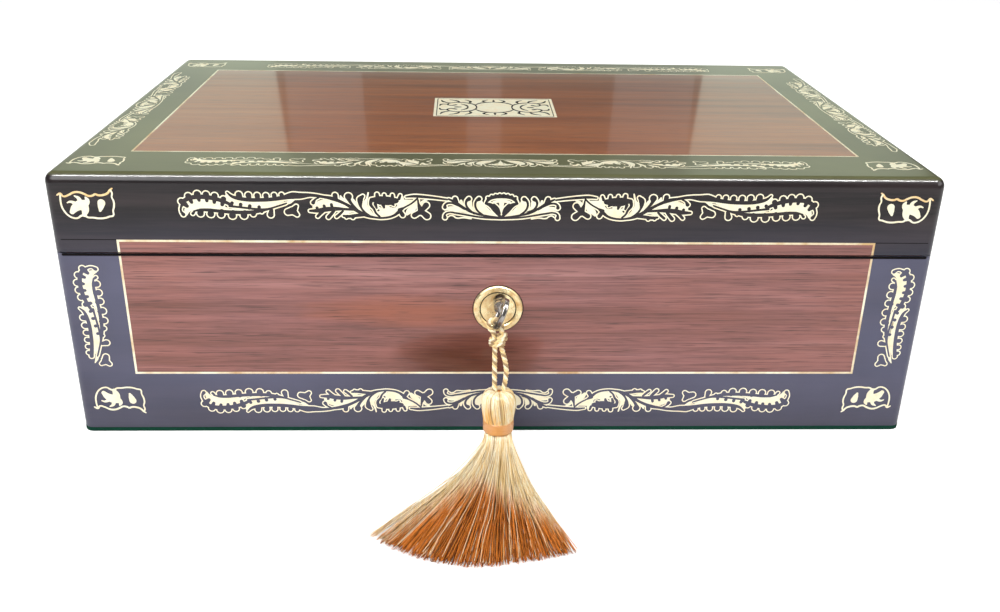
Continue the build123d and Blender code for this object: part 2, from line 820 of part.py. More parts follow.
inkwell_base = base_top + ink_floor
shoulder = inkwell_base + inkwell_body
for side, name in ((-1, "left"), (1, "right")):
    inkwell_x = side * (inner_x - ink_width / 2)
    with BuildPart() as inkwell:
        with BuildSketch(Plane.XY.offset(inkwell_base)):
            with Locations((inkwell_x, section_middle)):
                RectangleRounded(inkwell_size, inkwell_size, inkwell_corner)
        extrude(amount=inkwell_body)
        chamfer(inkwell.faces().sort_by(Axis.Z)[-1].edges(), inkwell_shoulder)
        with BuildSketch(Plane.XY.offset(shoulder)):
            with Locations((inkwell_x, section_middle)):
                Circle(inkwell_neck_radius)
        extrude(amount=inkwell_neck)
        with BuildSketch(Plane.XY.offset(inkwell_base + inkwell_floor)):
            with Locations((inkwell_x, section_middle)):
                Circle(inkwell_bore)
        extrude(amount=height, mode=Mode.SUBTRACT)
    keep("inkwell_" + name, inkwell)
    with BuildPart() as cap:
        with BuildSketch(Plane.XY.offset(shoulder)):
            with Locations((inkwell_x, section_middle)):
                Circle(cap_radius)
        extrude(amount=cap_height)
        fillet(cap.faces().sort_by(Axis.Z)[-1].edges(), 3.0)
        with BuildSketch(Plane.XY.offset(shoulder)):
            with Locations((inkwell_x, section_middle)):
                Circle(inkwell_neck_radius + cap_fit)
        extrude(amount=inkwell_neck, mode=Mode.SUBTRACT)
    keep("inkwell_cap_" + name, cap)

# Key: pierced oval bow, collar, piped shank over the drill pin, and bit
turn = radians(key_rest_angle)
lean = radians(bow_lean)
key_plane = Plane(origin=(0, -half_depth, key_height), x_dir=(0, 1, 0), z_dir=(cos(turn), 0, -sin(turn)))
bow_plane = Plane(origin=(0, -half_depth, key_height), x_dir=(0, 1, 0), z_dir=(cos(lean), 0, -sin(lean)))
shank_line = Plane(origin=(0, -half_depth, key_height), x_dir=(cos(turn), 0, -sin(turn)), z_dir=(0, -1, 0))
shank_start = bow_centre - bow_length / 2 + bow_section / 2
shank_end = half_depth + cavity_back - 0.6
with BuildPart() as key:
    with BuildSketch(bow_plane):
        with Locations((-bow_centre, 0)):
            Ellipse(bow_length / 2, bow_height / 2)
            Ellipse(bow_length / 2 - bow_section, bow_height / 2 - bow_section, mode=Mode.SUBTRACT)
    extrude(amount=bow_section / 2, both=True)
    fillet(key.faces().filter_by(Axis(bow_plane.origin, bow_plane.z_dir)).edges(), bow_round)
    with BuildSketch(shank_line.offset(shank_start)):
        Circle(shank_radius)
    extrude(amount=-shank_start - shank_end)
    for place in (shank_start - 2.6, shank_start - 5.2):
        with BuildSketch(shank_line.offset(place)):
            Circle(collar_radius)
        extrude(amount=collar_length)
    with BuildSketch(key_plane):
        with Locations((shank_end, 0)):
            Rectangle(bit_width, bit_radius, align=(Align.MAX, Align.MAX))
    extrude(amount=bit_thickness / 2, both=True)
    with BuildSketch(shank_line.offset(-shank_end)):
        Circle(drill_pin_radius + drill_pin_fit)
    extrude(amount=shank_end, mode=Mode.SUBTRACT)
keep("key", key)

# Tassel cord: a loop over the lowest bar of the bow, hitched, with both ends in the head.
# It lies in a plane that leans back from the head to the bar. The route gives heights up that plane.
# Corners inside the hitch and round the bar have the small radius that the bar and the hitch give.
bar_x = -(bow_height / 2 - bow_section / 2) * sin(lean)
bar_y = -half_depth - bow_centre
bar_z = key_height - (bow_height / 2 - bow_section / 2) * cos(lean)
cord_end = head_top - 1.2
cord_lean = atan2(bar_y - tassel_y, bar_z - cord_end)
cord_up = (0, sin(cord_lean), cos(cord_lean))
cord_plane = Plane(
    origin=(0, tassel_y - cord_end * cord_up[1], cord_end - cord_end * cord_up[2]),
    x_dir=(1, 0, 0),
    z_dir=(0, -cord_up[2], cord_up[1]),
)
bar_rise = cord_end + (bar_z - cord_end) / cord_up[2]
loop_radius = bow_section / 2 + cord_diameter / 2 + 0.5
loop_left = bar_x - loop_radius
loop_right = bar_x + loop_radius
loop_top = bar_rise + loop_radius
hitch_x = -1.0
strand = cord_diameter / 2 + 0.15
cord_route = [
    (tassel_x - 1.6, cord_end),
    (tassel_x - 1.9, 34.4),
    (tassel_x - 1.8, 41.0),
    (hitch_x - strand, 48.4),
    (hitch_x - strand - 0.02, 54.1),
    (loop_left, bar_rise - 0.9),
    (loop_left, loop_top),
    (loop_right, loop_top),
    (loop_right, bar_rise - 0.9),
    (hitch_x + strand + 0.02, 54.1),
    (hitch_x + strand, 48.2),
    (tassel_x + 2.7, 41.4),
    (tassel_x + 3.1, 35.6),
    (tassel_x + 1.6, cord_end),
]


def corner_radii(points):
    """Largest smooth radius at each corner of a route, 0.45 of its shorter run."""
    radii = []
    for before, corner, after in zip(points, points[1:], points[2:]):
        arriving = Vector(*corner) - Vector(*before)
        leaving = Vector(*after) - Vector(*corner)
        bend = radians(arriving.get_angle(leaving))
        radii.append(0.45 * min(arriving.length, leaving.length) / tan(bend / 2))
    return radii


route_radii = corner_radii(cord_route)
loop_bend = loop_radius - 0.02
tight_corners = {3: 3.0, 4: 1.9, 5: loop_bend, 6: loop_bend, 7: 10.0, 8: 7.5, 9: 7.5}
for corner, radius in tight_corners.items():
    route_radii[corner] = radius
print("cord corner radii", [round(radius, 1) for radius in route_radii])
with BuildPart() as tassel_cord:
    with BuildLine(cord_plane):
        cord_path = FilletPolyline(*cord_route, radius=route_radii)
    with BuildSketch(Plane(origin=cord_path @ 0, z_dir=cord_path % 0)):
        Circle(cord_diameter / 2)
    sweep()
print("cord length", round(cord_path.length, 1), "volume", round(tassel_cord.part.volume, 1))
keep("tassel_cord", tassel_cord)

hitch_plane = Plane(
    origin=cord_plane.from_local_coords((0, hitch_base, 0)), x_dir=(1, 0, 0), z_dir=cord_up
)
with BuildPart() as tassel_hitch:
    with BuildSketch(hitch_plane):
        with Locations((hitch_x, 0)):
            SlotOverall(4 * strand + 2.4, 2 * strand + 2.4)
    extrude(amount=hitch_height)
    ends = tassel_hitch.edges().group_by(Axis(hitch_plane.origin, cord_up))
    chamfer(ends[0] + ends[-1], 0.8)
    with BuildSketch(hitch_plane):
        with Locations((hitch_x - strand, 0), (hitch_x + strand, 0)):
            Circle(cord_diameter / 2 + hitch_fit)
    extrude(amount=hitch_height, mode=Mode.SUBTRACT)
keep("tassel_hitch", tassel_hitch)

with BuildPart() as tassel_head:
    with BuildSketch(Plane(origin=(tassel_x, tassel_y, 0), x_dir=(1, 0, 0), z_dir=(0, -1, 0))):
        with BuildLine():
            Polyline((head_neck_radius, head_top), (0, head_top), (0, head_base), (band_radius - 0.3, head_base))
            ThreePointArc(
                (band_radius - 0.3, head_base),
                (head_radius, head_base + 0.36 * (head_top - head_base)),
                (head_neck_radius, head_top),
            )
        make_face()
    revolve(axis=Axis((tassel_x, tassel_y, 0), (0, 0, 1)))
    with BuildSketch(Plane.YZ.offset(tassel_x)):
        with Locations((tassel_y, head_top)):
            Circle(trough_radius)
    extrude(amount=head_neck_radius - 0.7, both=True, mode=Mode.SUBTRACT)
keep("tassel_head", tassel_head)

band_base = head_base - band_height
with BuildPart() as tassel_band:
    with BuildSketch(Plane.XY.offset(band_base)):
        with Locations((tassel_x, tassel_y)):
            Circle(band_radius)
    extrude(amount=band_height)
    chamfer(tassel_band.edges(), 0.8)
keep("tassel_band", tassel_band)

# Skirt of the tassel: a sheaf of threads that turns out on the table and fans towards the front
skirt_root = band_radius - 1.2
skirt_back = tassel_y + skirt_root
fan_left = (-50.0, -half_depth - 77.0)
fan_middle = (-12.0, -half_depth - 95.0)
fan_right = (27.0, -half_depth - 87.0)
with BuildPart() as tassel_skirt:
    with BuildSketch(Plane.YZ.offset(fan_left[0])):
        with BuildLine():
            Polyline((skirt_back, band_base), (skirt_back - 2 * skirt_root, band_base))
            Spline(
                (skirt_back - 2 * skirt_root, band_base),
                (-half_depth - 34.0, 7.2),
                (-half_depth - 62.0, 4.9),
                (fan_middle[1] - 2, 3.2),
            )
            Polyline(
                (fan_middle[1] - 2, 3.2), (fan_middle[1] - 2, skirt_clearance), (tassel_y - 6, skirt_clearance)
            )
            ThreePointArc((tassel_y - 6, skirt_clearance), (tassel_y + 2.6, 3.8), (skirt_back, band_base))
        make_face()
    extrude(amount=fan_right[0] - fan_left[0])
    with BuildSketch():
        with BuildLine():
            ThreePointArc(fan_left, fan_middle, fan_right)
            Spline(fan_right, (8.0, -half_depth - 40.0), (tassel_x + skirt_root, skirt_back))
            Line((tassel_x + skirt_root, skirt_back), (tassel_x - skirt_root, skirt_back))
            Spline((tassel_x - skirt_root, skirt_back), (-24.0, -half_depth - 42.0), fan_left)
        make_face()
    extrude(amount=band_base, mode=Mode.INTERSECT)
keep("tassel_skirt", tassel_skirt)

os.makedirs("parts", exist_ok=True)
for name, part in nodes.items():
    export_step(part, "parts/" + name + ".step")
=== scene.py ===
"""Writing slope: the finishes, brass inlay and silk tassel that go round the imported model."""

import json
import math
import random

import bmesh
import bpy
from mathutils import Matrix, Vector


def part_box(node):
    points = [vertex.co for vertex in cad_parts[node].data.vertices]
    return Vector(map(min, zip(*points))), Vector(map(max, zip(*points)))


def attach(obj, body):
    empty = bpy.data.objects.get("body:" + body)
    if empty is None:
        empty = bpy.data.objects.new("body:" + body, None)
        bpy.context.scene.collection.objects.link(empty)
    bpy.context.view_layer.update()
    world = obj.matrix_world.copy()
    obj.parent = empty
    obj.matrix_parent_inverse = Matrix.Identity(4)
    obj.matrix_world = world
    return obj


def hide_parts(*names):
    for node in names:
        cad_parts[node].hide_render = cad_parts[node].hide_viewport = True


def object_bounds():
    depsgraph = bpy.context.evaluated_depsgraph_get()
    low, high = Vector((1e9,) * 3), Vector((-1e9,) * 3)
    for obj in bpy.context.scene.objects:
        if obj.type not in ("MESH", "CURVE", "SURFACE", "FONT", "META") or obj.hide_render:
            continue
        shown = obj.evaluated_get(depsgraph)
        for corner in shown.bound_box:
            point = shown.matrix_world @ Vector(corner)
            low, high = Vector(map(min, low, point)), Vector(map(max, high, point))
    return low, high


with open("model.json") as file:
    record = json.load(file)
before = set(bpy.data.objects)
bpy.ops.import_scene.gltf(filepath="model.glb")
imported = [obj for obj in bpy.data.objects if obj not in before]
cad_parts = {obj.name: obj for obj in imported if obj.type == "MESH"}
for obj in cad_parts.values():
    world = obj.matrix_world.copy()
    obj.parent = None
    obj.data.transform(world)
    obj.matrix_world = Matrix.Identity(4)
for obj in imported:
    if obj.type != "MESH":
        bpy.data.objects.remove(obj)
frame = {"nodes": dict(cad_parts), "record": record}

bl_info = {
    "name": "Writing slope",
    "version": (1, 0, 0),
    "blender": (4, 5, 0),
    "location": "View3D > Sidebar > Writing slope",
    "description": "Finishes, brass inlay and silk tassel of a writing slope",
    "category": "Add Mesh",
}

MM = 0.001
CAD_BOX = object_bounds()
FRONT_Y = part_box("case_front_panel")[0].y
TOP_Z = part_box("top_panel")[1].z

# How deep the colour of the outer faces goes, in metres
VENEER = 0.0009
# Places on the front veneer, each (across, up) and its reach, in metres: a warm streak, and a painted shadow
# under the lock
WARM_STREAK = ((-0.040, 0.057), (0.045, 0.008))
PAINTED_SHADOW_PATCH = ((-0.014, 0.036), (0.034, 0.014))
# Painted slate reflection on the dark timber: two heights in metres, and its share at each
CASE_REFLECTION = (0.0, 0.030, 0.45, 0.80)
LID_REFLECTION = (0.082, 0.100, 0.22, 0.01)
# Gilt lines of the leather: distance in from its edge and half the width, in metres
TOOLED_LINES = ((0.0035, 0.00025), (0.0060, 0.0006), (0.0085, 0.00025))
# Where the skirt turns to its painted brown shade: how ragged and how far left of the middle, in metres, and
# the lag at the sides
RAGGED = 0.016
SKIRT_LEAN = 0.009
SIDE_LAG = 0.75

# Section of the baize edge: out from the walls' faces and up, and the walls' corner radius, in millimetres
BAIZE_SECTION = ((0.12, 0.05), (0.12, 1.9), (0.01, 1.9), (0.01, 1.48), (-2.2, 1.48), (-2.2, 0.05))
WALL_CORNER = 4.2


def colour(name, description, value):
    return bpy.props.FloatVectorProperty(
        name=name, description=description, subtype="COLOR", size=3, min=0.0, max=1.0, default=value
    )


def length(name, description, value):
    return bpy.props.FloatProperty(
        name=name, description=description, unit="LENGTH", subtype="DISTANCE", precision=5, min=0.0,
        default=value,
    )


def number(name, description, value):
    return bpy.props.FloatProperty(name=name, description=description, min=0.0, default=value)


def count(name, description, value):
    return bpy.props.IntProperty(name=name, description=description, min=3, default=value)


class TimberColours(bpy.types.PropertyGroup):
    rosewood_dark: colour("Rosewood vein", "Darkest streaks of the rosewood veneer", (0.042, 0.018, 0.016))
    rosewood_brown: colour("Rosewood brown", "Brown between the streaks", (0.150, 0.058, 0.050))
    rosewood_red: colour("Rosewood red", "Main red of the rosewood veneer", (0.245, 0.098, 0.090))
    rosewood_light: colour("Rosewood light", "Palest figure of the rosewood veneer", (0.360, 0.170, 0.158))
    rosewood_orange: colour("Rosewood orange", "Warm patches of the rosewood veneer", (0.300, 0.085, 0.036))
    rosewood_shadow: colour("Rosewood shadow", "Painted shadow under the lock", (0.070, 0.016, 0.006))
    top_dark: colour("Top vein", "Darkest streaks of the top's veneer", (0.070, 0.016, 0.006))
    top_brown: colour("Top brown", "Brown between the top's streaks", (0.190, 0.048, 0.010))
    top_red: colour("Top red", "Main colour of the top's veneer", (0.350, 0.100, 0.024))
    top_light: colour("Top light", "Palest figure of the top's veneer", (0.500, 0.180, 0.055))
    # Also the colour of the painted shadow lines along the seam and round the escutcheon
    wax_and_shadow: colour("Wax", "Blackened wax in the joints", (0.0015, 0.0012, 0.0012))
    coromandel_dark: colour("Coromandel dark", "Ground of the dark border", (0.0085, 0.0065, 0.0070))
    coromandel_brown: colour("Coromandel brown", "Streaks in the dark border", (0.030, 0.021, 0.021))
    coromandel_reflection: colour("Coromandel bloom", "Slate bloom on the lower border", (0.110, 0.112, 0.180))
    coromandel_olive: colour("Coromandel olive", "Painted olive reflection on the top border", (0.160, 0.165, 0.070))
    mahogany_dark: colour("Mahogany dark", "Dark figure of the inner timber", (0.16, 0.055, 0.022))
    mahogany_light: colour("Mahogany light", "Pale figure of the inner timber", (0.36, 0.15, 0.062))


class MetalColours(bpy.types.PropertyGroup):
    inlay: colour("Inlay brass", "Pale polished brass of the inlay", (0.86, 0.82, 0.62))
    inlay_aged: colour("Aged inlay brass", "Tarnish on the inlay", (0.80, 0.52, 0.22))
    line_aged: colour("Aged stringing", "Golden brown lengths of the stringing", (0.52, 0.30, 0.10))
    fittings: colour("Fittings brass", "Brass of the locks and hinges", (0.98, 0.84, 0.50))
    fittings_aged: colour("Aged fittings brass", "Tarnish on the fittings", (0.66, 0.36, 0.10))
    steel: colour("Steel", "Worn bright steel of the key", (0.72, 0.70, 0.67))
    steel_glint: colour("Painted steel glint", "Painted glints on the dark key", (0.42, 0.39, 0.36))
    steel_dark: colour("Dark steel", "Pitting and handling marks, and painted dark reflections on the key", (0.030, 0.024, 0.020))


class SoftColours(bpy.types.PropertyGroup):
    leather: colour("Leather", "Skiver of the writing flaps", (0.030, 0.060, 0.028))
    gilt: colour("Gilt", "Gold of the tooled lines", (0.78, 0.55, 0.20))
    baize: colour("Baize", "Wool cloth under the base", (0.002, 0.046, 0.026))
    silk_cream: colour("Cream silk", "Palest silk of the tassel", (0.94, 0.89, 0.70))
    silk_gold: colour("Gold silk", "Gold silk of the tassel", (0.80, 0.55, 0.20))
    silk_painted_brown: colour("Painted brown silk", "Painted shade, orange brown, towards the ends of the skirt", (0.66, 0.190, 0.012))
    silk_dark: colour("Dark silk", "Shaded strands among the brown ones", (0.12, 0.022, 0.002))
    silk_head: colour("Head silk", "Painted golden shade low on the tassel's head", (0.80, 0.44, 0.12))
    silk_band: colour("Band silk", "Orange satin round the tassel's neck", (0.62, 0.27, 0.07))
    silk_shade: colour("Shaded silk", "Brown strands among the pale ones", (0.22, 0.13, 0.07))


class InlaySizes(bpy.types.PropertyGroup):
    rim: length("Rim", "Width of the brass line round a dark leaf", 0.50 * MM)
    ground_height: length("Ground height", "How far the brass stands proud of the veneer", 0.030 * MM)
    layer: length("Layer", "Height from one inlaid layer to the next", 0.015 * MM)
    joint_width: length("Joint width", "Width of the dark line where two veneers meet", 0.30 * MM)


class TasselSizes(bpy.types.PropertyGroup):
    cord_diameter: length("Cord diameter", "Diameter of the tassel's cord", 2.2 * MM)
    cord_pitch: length("Cord pitch", "Length of one turn of the cord's strands", 4.2 * MM)
    head_strands: count("Head strands", "Strands laid over the head", 58)
    skirt_strands: count("Skirt strands", "Strands in the skirt", 1250)
    strand_width: length("Strand width", "Thickness of one skirt strand", 0.30 * MM)


class StageSettings(bpy.types.PropertyGroup):
    floor: colour("Floor", "Pale floor", (0.90, 0.90, 0.90))
    key_power: number("Key lamp", "Power of the large front lamp, in watts", 11.2)
    fill_power: number("Fill lamp", "Power of the side lamp, in watts", 4.5)
    strip_power: number("Strip lamp", "Power of the long lamp overhead, in watts", 60.0)
    window_tint: colour("Window tint", "Garden light from the windows", (0.88, 1.0, 0.84))
    window_power: number("Window lamps", "Power of each window behind, in watts", 0.30)
    sky: number("Sky", "Strength of the even light", 0.60)
    reflected_sky: number("Reflected sky", "Strength of the sky in reflections", 0.05)


class SlopeSettings(bpy.types.PropertyGroup):
    timber: bpy.props.PointerProperty(type=TimberColours, name="Timber")
    metal: bpy.props.PointerProperty(type=MetalColours, name="Metal")
    soft: bpy.props.PointerProperty(type=SoftColours, name="Soft goods")
    inlay: bpy.props.PointerProperty(type=InlaySizes, name="Inlay")
    tassel: bpy.props.PointerProperty(type=TasselSizes, name="Tassel")
    stage: bpy.props.PointerProperty(type=StageSettings, name="Stage")


# Node materials


class Nodes:
    """A node tree being filled. Each method adds nodes and gives back the socket that they end in."""

    def __init__(self, owner):
        owner.use_nodes = True
        self.owner = owner
        self.tree = owner.node_tree

    def put(self, socket, value):
        """Links a socket to another one, or sets it to a colour or a number."""
        if isinstance(value, bpy.types.NodeSocket):
            self.tree.links.new(value, socket)
        elif socket.type == "RGBA":
            socket.default_value = (*value, 1.0)
        else:
            socket.default_value = value

    def add(self, kind, sockets=None, **settings):
        node = self.tree.nodes.new(kind)
        for key, value in settings.items():
            setattr(node, key, value)
        for key, value in (sockets or {}).items():
            self.put(node.inputs[key], value)
        return node

    def mapped(self, scale, location=(0.0, 0.0, 0.0)):
        """Object coordinates, with a scale for each axis or one for all."""
        if isinstance(scale, float):
            scale = (scale, scale, scale)
        coords = self.add("ShaderNodeTexCoord").outputs["Object"]
        sockets = {"Vector": coords, "Scale": scale, "Location": location}
        return self.add("ShaderNodeMapping", sockets).outputs["Vector"]

    def axes(self):
        coords = self.add("ShaderNodeTexCoord").outputs["Object"]
        return self.add("ShaderNodeSeparateXYZ", {"Vector": coords}).outputs

    def noise(self, scale, detail, roughness, distortion=0.0, location=(0.0, 0.0, 0.0)):
        sockets = {"Vector": self.mapped(scale, location), "Scale": 1.0, "Detail": detail}
        sockets.update({"Roughness": roughness, "Distortion": distortion})
        return self.add("ShaderNodeTexNoise", sockets).outputs["Fac"]

    def ramp(self, factor, *stops):
        """A colour ramp. Each stop is a position and a colour or a grey."""
        node = self.add("ShaderNodeValToRGB", {"Fac": factor})
        elements = node.color_ramp.elements
        while len(elements) < len(stops):
            elements.new(0.5)
        for element, (position, value) in zip(elements, stops):
            element.position = position
            shade = (value, value, value) if isinstance(value, float) else value
            element.color = (*shade, 1.0)
        return node.outputs["Color"]

    def mix(self, factor, first, second):
        sockets = {0: factor, 6: first, 7: second}
        return self.add("ShaderNodeMix", sockets, data_type="RGBA").outputs[2]

    def math(self, operation, *values):
        return self.add("ShaderNodeMath", dict(enumerate(values)), operation=operation).outputs["Value"]

    def plus(self, first, second):
        return self.math("ADD", first, second)

    def times(self, first, second):
        return self.math("MULTIPLY", first, second)

    def larger(self, first, *others):
        for other in others:
            first = self.math("MAXIMUM", first, other)
        return first

    def spread(self, value, low, high, out_low=0.0, out_high=1.0):
        """Carries a value from one range to another."""
        sockets = {"Value": value, "From Min": low, "From Max": high, "To Min": out_low, "To Max": out_high}
        return self.add("ShaderNodeMapRange", sockets).outputs["Result"]

    def surface(self, colour, roughness, bump=None, others=None):
        """Feeds the shader, and gives back the material. bump is a height, a distance and a strength."""
        shader = self.tree.nodes["Principled BSDF"]
        inputs = {"Base Color": colour, "Roughness": roughness, **(others or {})}
        if bump:
            sockets = dict(zip(("Height", "Distance", "Strength"), bump))
            inputs["Normal"] = self.add("ShaderNodeBump", sockets).outputs["Normal"]
        for key, value in inputs.items():
            self.put(shader.inputs[key], value)
        return self.owner


def new_material(name):
    return Nodes(bpy.data.materials.new(name))


def polish(coat, coat_roughness, timber_shine):
    """Shader inputs for French polish over timber."""
    coats = {"Coat Weight": coat, "Coat Roughness": coat_roughness, "Coat IOR": 1.5}
    return {"Specular IOR Level": timber_shine, **coats}


def patch_mask(nodes, centre, reach):
    """1 at a place on the front, falling to 0 at the reach across and up; both in metres."""
    axes = nodes.axes()
    squares = []
    for axis, middle, half in zip("XZ", centre, reach):
        away = nodes.math("DIVIDE", nodes.math("SUBTRACT", axes[axis], middle), half)
        squares.append(nodes.math("POWER", away, 2.0))
    ragged = nodes.noise((30.0, 300.0, 300.0), 3.0, 0.6)
    return nodes.spread(nodes.plus(nodes.plus(*squares), ragged), 0.4, 1.5, 1.0, 0.0)


def rosewood_material(name, timber, shades, streaks, warmth, streak_and_shadow=False):
    """Figured rosewood veneer with its grain along X. With streak_and_shadow, it has a warm streak and a
    painted shadow under the lock.

    streaks scales the figure, and warmth is the share of orange.
    """
    nodes = new_material(name)
    broad = nodes.noise(streaks, 6.0, 0.62, 0.35)
    drift = nodes.noise((2.2, 7.0, 22.0), 3.0, 0.5, location=(7.0, 2.0, 0.0))
    figure = nodes.plus(nodes.times(broad, 0.5), nodes.times(drift, 0.5))
    wood = nodes.ramp(figure, *zip((0.30, 0.42, 0.54, 0.70), shades))
    cloud = nodes.noise((9.0, 9.0, 16.0), 2.0, 0.5, location=(3.1, 0.0, 0.0))
    wood = nodes.mix(nodes.spread(cloud, 0.38, 0.62, 0.0, warmth), wood, timber.rosewood_orange)
    fine = nodes.noise((26.0, 1100.0, 1100.0), 4.0, 0.65)
    wood = nodes.mix(nodes.ramp(fine, (0.34, 0.45), (0.56, 0.0)), wood, shades[0])
    if streak_and_shadow:
        streak = nodes.times(patch_mask(nodes, *WARM_STREAK), 0.7)
        wood = nodes.mix(streak, wood, timber.rosewood_orange)
        # Painted shadow under the lock
        patch = nodes.times(patch_mask(nodes, *PAINTED_SHADOW_PATCH), 0.95)
        wood = nodes.mix(patch, wood, timber.rosewood_shadow)
    pores = nodes.noise((70.0, 3000.0, 3000.0), 2.0, 0.5)
    wood = nodes.mix(nodes.ramp(pores, (0.30, 0.7), (0.42, 0.0)), wood, shades[0])
    rough = nodes.spread(fine, 0.3, 0.7, 0.30, 0.42)
    return nodes.surface(wood, rough, (pores, 0.00003, 0.30), polish(0.7, 0.07, 0.25))


def outer_veneer_mask(nodes):
    """1 on the outside of the box and on its rounded edges, 0 on its inside and its cut edges."""
    axes = nodes.axes()
    # A distance from the middle, the face's own, and how deep its rounded edges go
    faces = (
        (nodes.math("ABSOLUTE", axes["X"]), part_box("case_right")[1].x, 0.0045),
        (nodes.math("ABSOLUTE", axes["Y"]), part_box("case_back")[1].y, 0.0045),
        (axes["Z"], TOP_Z, 0.0046),
    )
    on_face = [nodes.math("GREATER_THAN", place, face - VENEER) for place, face, _ in faces]
    near = [nodes.math("GREATER_THAN", place, face - corner) for place, face, corner in faces]
    near_two = nodes.math("GREATER_THAN", nodes.plus(near[0], nodes.plus(near[1], near[2])), 1.5)
    return nodes.larger(*on_face, near_two)


def mahogany_colour(nodes, timber):
    """The colour of the inner timber, and the fine grain in it."""
    broad = nodes.noise((9.0, 60.0, 60.0), 4.0, 0.55, 0.5)
    fine = nodes.noise((40.0, 1200.0, 1200.0), 3.0, 0.6)
    wood = nodes.ramp(broad, (0.35, timber.mahogany_dark), (0.65, timber.mahogany_light))
    return nodes.mix(nodes.ramp(fine, (0.32, 0.55), (0.5, 0.0)), wood, timber.mahogany_dark), fine


def coromandel_material(name, timber, reflection, inside=True):
    """Dark border timber outside, with the plain carcase timber on inner faces.

    reflection is two heights and the share of painted slate reflection at each. Near the top, a painted
    olive reflection is added.
    """
    nodes = new_material(name)
    broad = nodes.noise((8.0, 120.0, 120.0), 5.0, 0.6, 0.5)
    wood = nodes.ramp(broad, (0.40, timber.coromandel_dark), (0.72, timber.coromandel_brown))
    fine = nodes.noise((30.0, 1100.0, 1100.0), 3.0, 0.6)
    wood = nodes.mix(nodes.ramp(fine, (0.45, 0.0), (0.75, 0.4)), wood, timber.coromandel_brown)
    height = nodes.axes()["Z"]
    # Painted reflections on the polish: slate low down, olive near the top
    cloud = nodes.spread(nodes.noise((14.0, 14.0, 24.0), 3.0, 0.5), 0.3, 0.7, 0.6, 1.0)
    wood = nodes.mix(nodes.times(cloud, nodes.spread(height, *reflection)), wood, timber.coromandel_reflection)
    high = nodes.spread(height, TOP_Z - 0.0014, TOP_Z - 0.0003, 0.0, 0.85)
    wood = nodes.mix(nodes.times(high, cloud), wood, timber.coromandel_olive)
    rough = nodes.spread(fine, 0.3, 0.7, 0.26, 0.36)
    if inside:
        mask = outer_veneer_mask(nodes)
        wood = nodes.mix(mask, mahogany_colour(nodes, timber)[0], wood)
        rough = nodes.spread(mask, 0.0, 1.0, 0.5, 0.30)
    return nodes.surface(wood, rough, (fine, 0.00002, 0.3), polish(0.3, 0.12, 0.2))


def mahogany_material(name, timber):
    nodes = new_material(name)
    wood, fine = mahogany_colour(nodes, timber)
    return nodes.surface(wood, nodes.spread(fine, 0.3, 0.7, 0.42, 0.60), (fine, 0.00004, 0.5))


def metal_material(name, bright, patch_colour, patch_share, rough, metallic=1.0, patch=240.0):
    """Metal with patches of its second colour and fine rubbing marks. The patches are tarnish, except on the
    key, where they are painted reflections.
    """
    nodes = new_material(name)
    patches = nodes.noise(patch, 5.0, 0.65)
    marks = nodes.noise((2400.0, 300.0, 2400.0), 3.0, 0.6)
    metal = nodes.mix(nodes.ramp(patches, (0.44, 0.0), (0.66, patch_share)), bright, patch_colour)
    rubbed = nodes.spread(patches, 0.3, 0.75, rough, rough + 0.2)
    return nodes.surface(metal, rubbed, (marks, 0.00002, 0.25), {"Metallic": metallic})


def wax_and_shadow_material(name, timber):
    """Dark wax in joints and in engraved lines, and painted shadow along the seam and round the escutcheon.
    """
    nodes = new_material(name)
    speck = nodes.noise(900.0, 3.0, 0.6)
    wax_and_shadow = nodes.mix(speck, timber.wax_and_shadow, timber.coromandel_dark)
    rough = nodes.spread(speck, 0.3, 0.7, 0.5, 0.7)
    return nodes.surface(wax_and_shadow, rough, others={"Specular IOR Level": 0.05})


def leather_material(name, soft, box):
    """Grained skiver with gilt tooled lines near the four edges of its box."""
    nodes = new_material(name)
    grain = {"Vector": nodes.mapped(1500.0), "Scale": 1.0}
    cells = nodes.add("ShaderNodeTexVoronoi", grain, feature="DISTANCE_TO_EDGE").outputs["Distance"]
    cloud = nodes.noise(35.0, 4.0, 0.6)
    worn = tuple(min(1.0, share * 2.2) for share in soft.leather)
    hide = nodes.mix(nodes.spread(cloud, 0.35, 0.8), soft.leather, worn)
    axes = nodes.axes()
    middle, half = (box[0] + box[1]) / 2, (box[1] - box[0]) / 2
    lines = []
    for axis, place, reach in (("X", middle.x, half.x), ("Y", middle.y, half.y)):
        across = nodes.math("ABSOLUTE", nodes.math("SUBTRACT", axes[axis], place))
        lines += [nodes.math("COMPARE", across, reach - inset, width) for inset, width in TOOLED_LINES]
    rubbed = nodes.spread(nodes.noise(700.0, 3.0, 0.6), 0.35, 0.5)
    gold = nodes.times(nodes.larger(*lines), rubbed)
    rough = nodes.spread(cloud, 0.3, 0.7, 0.42, 0.62)
    hide = nodes.mix(gold, hide, soft.gilt)
    return nodes.surface(hide, rough, (cells, 0.00006, 0.5), {"Metallic": gold})


def baize_material(name, soft):
    nodes = new_material(name)
    nap = nodes.noise(1800.0, 4.0, 0.7)
    darker = tuple(share * 0.5 for share in soft.baize)
    wool = nodes.mix(nodes.spread(nap, 0.3, 0.7), darker, soft.baize)
    return nodes.surface(wool, 0.95, (nap, 0.0002, 0.7), {"Specular IOR Level": 0.1})


def glass_material(name):
    """Clear pressed glass with slight ripples."""
    nodes = new_material(name)
    ripple = nodes.noise((160.0, 160.0, 60.0), 2.0, 0.5)
    tint = nodes.mix(nodes.spread(ripple, 0.3, 0.7), (0.90, 0.96, 0.95), (0.97, 0.99, 0.99))
    rough = nodes.spread(ripple, 0.3, 0.7, 0.02, 0.06)
    return nodes.surface(tint, rough, (ripple, 0.0003, 0.3), {"Transmission Weight": 1.0, "IOR": 1.5})


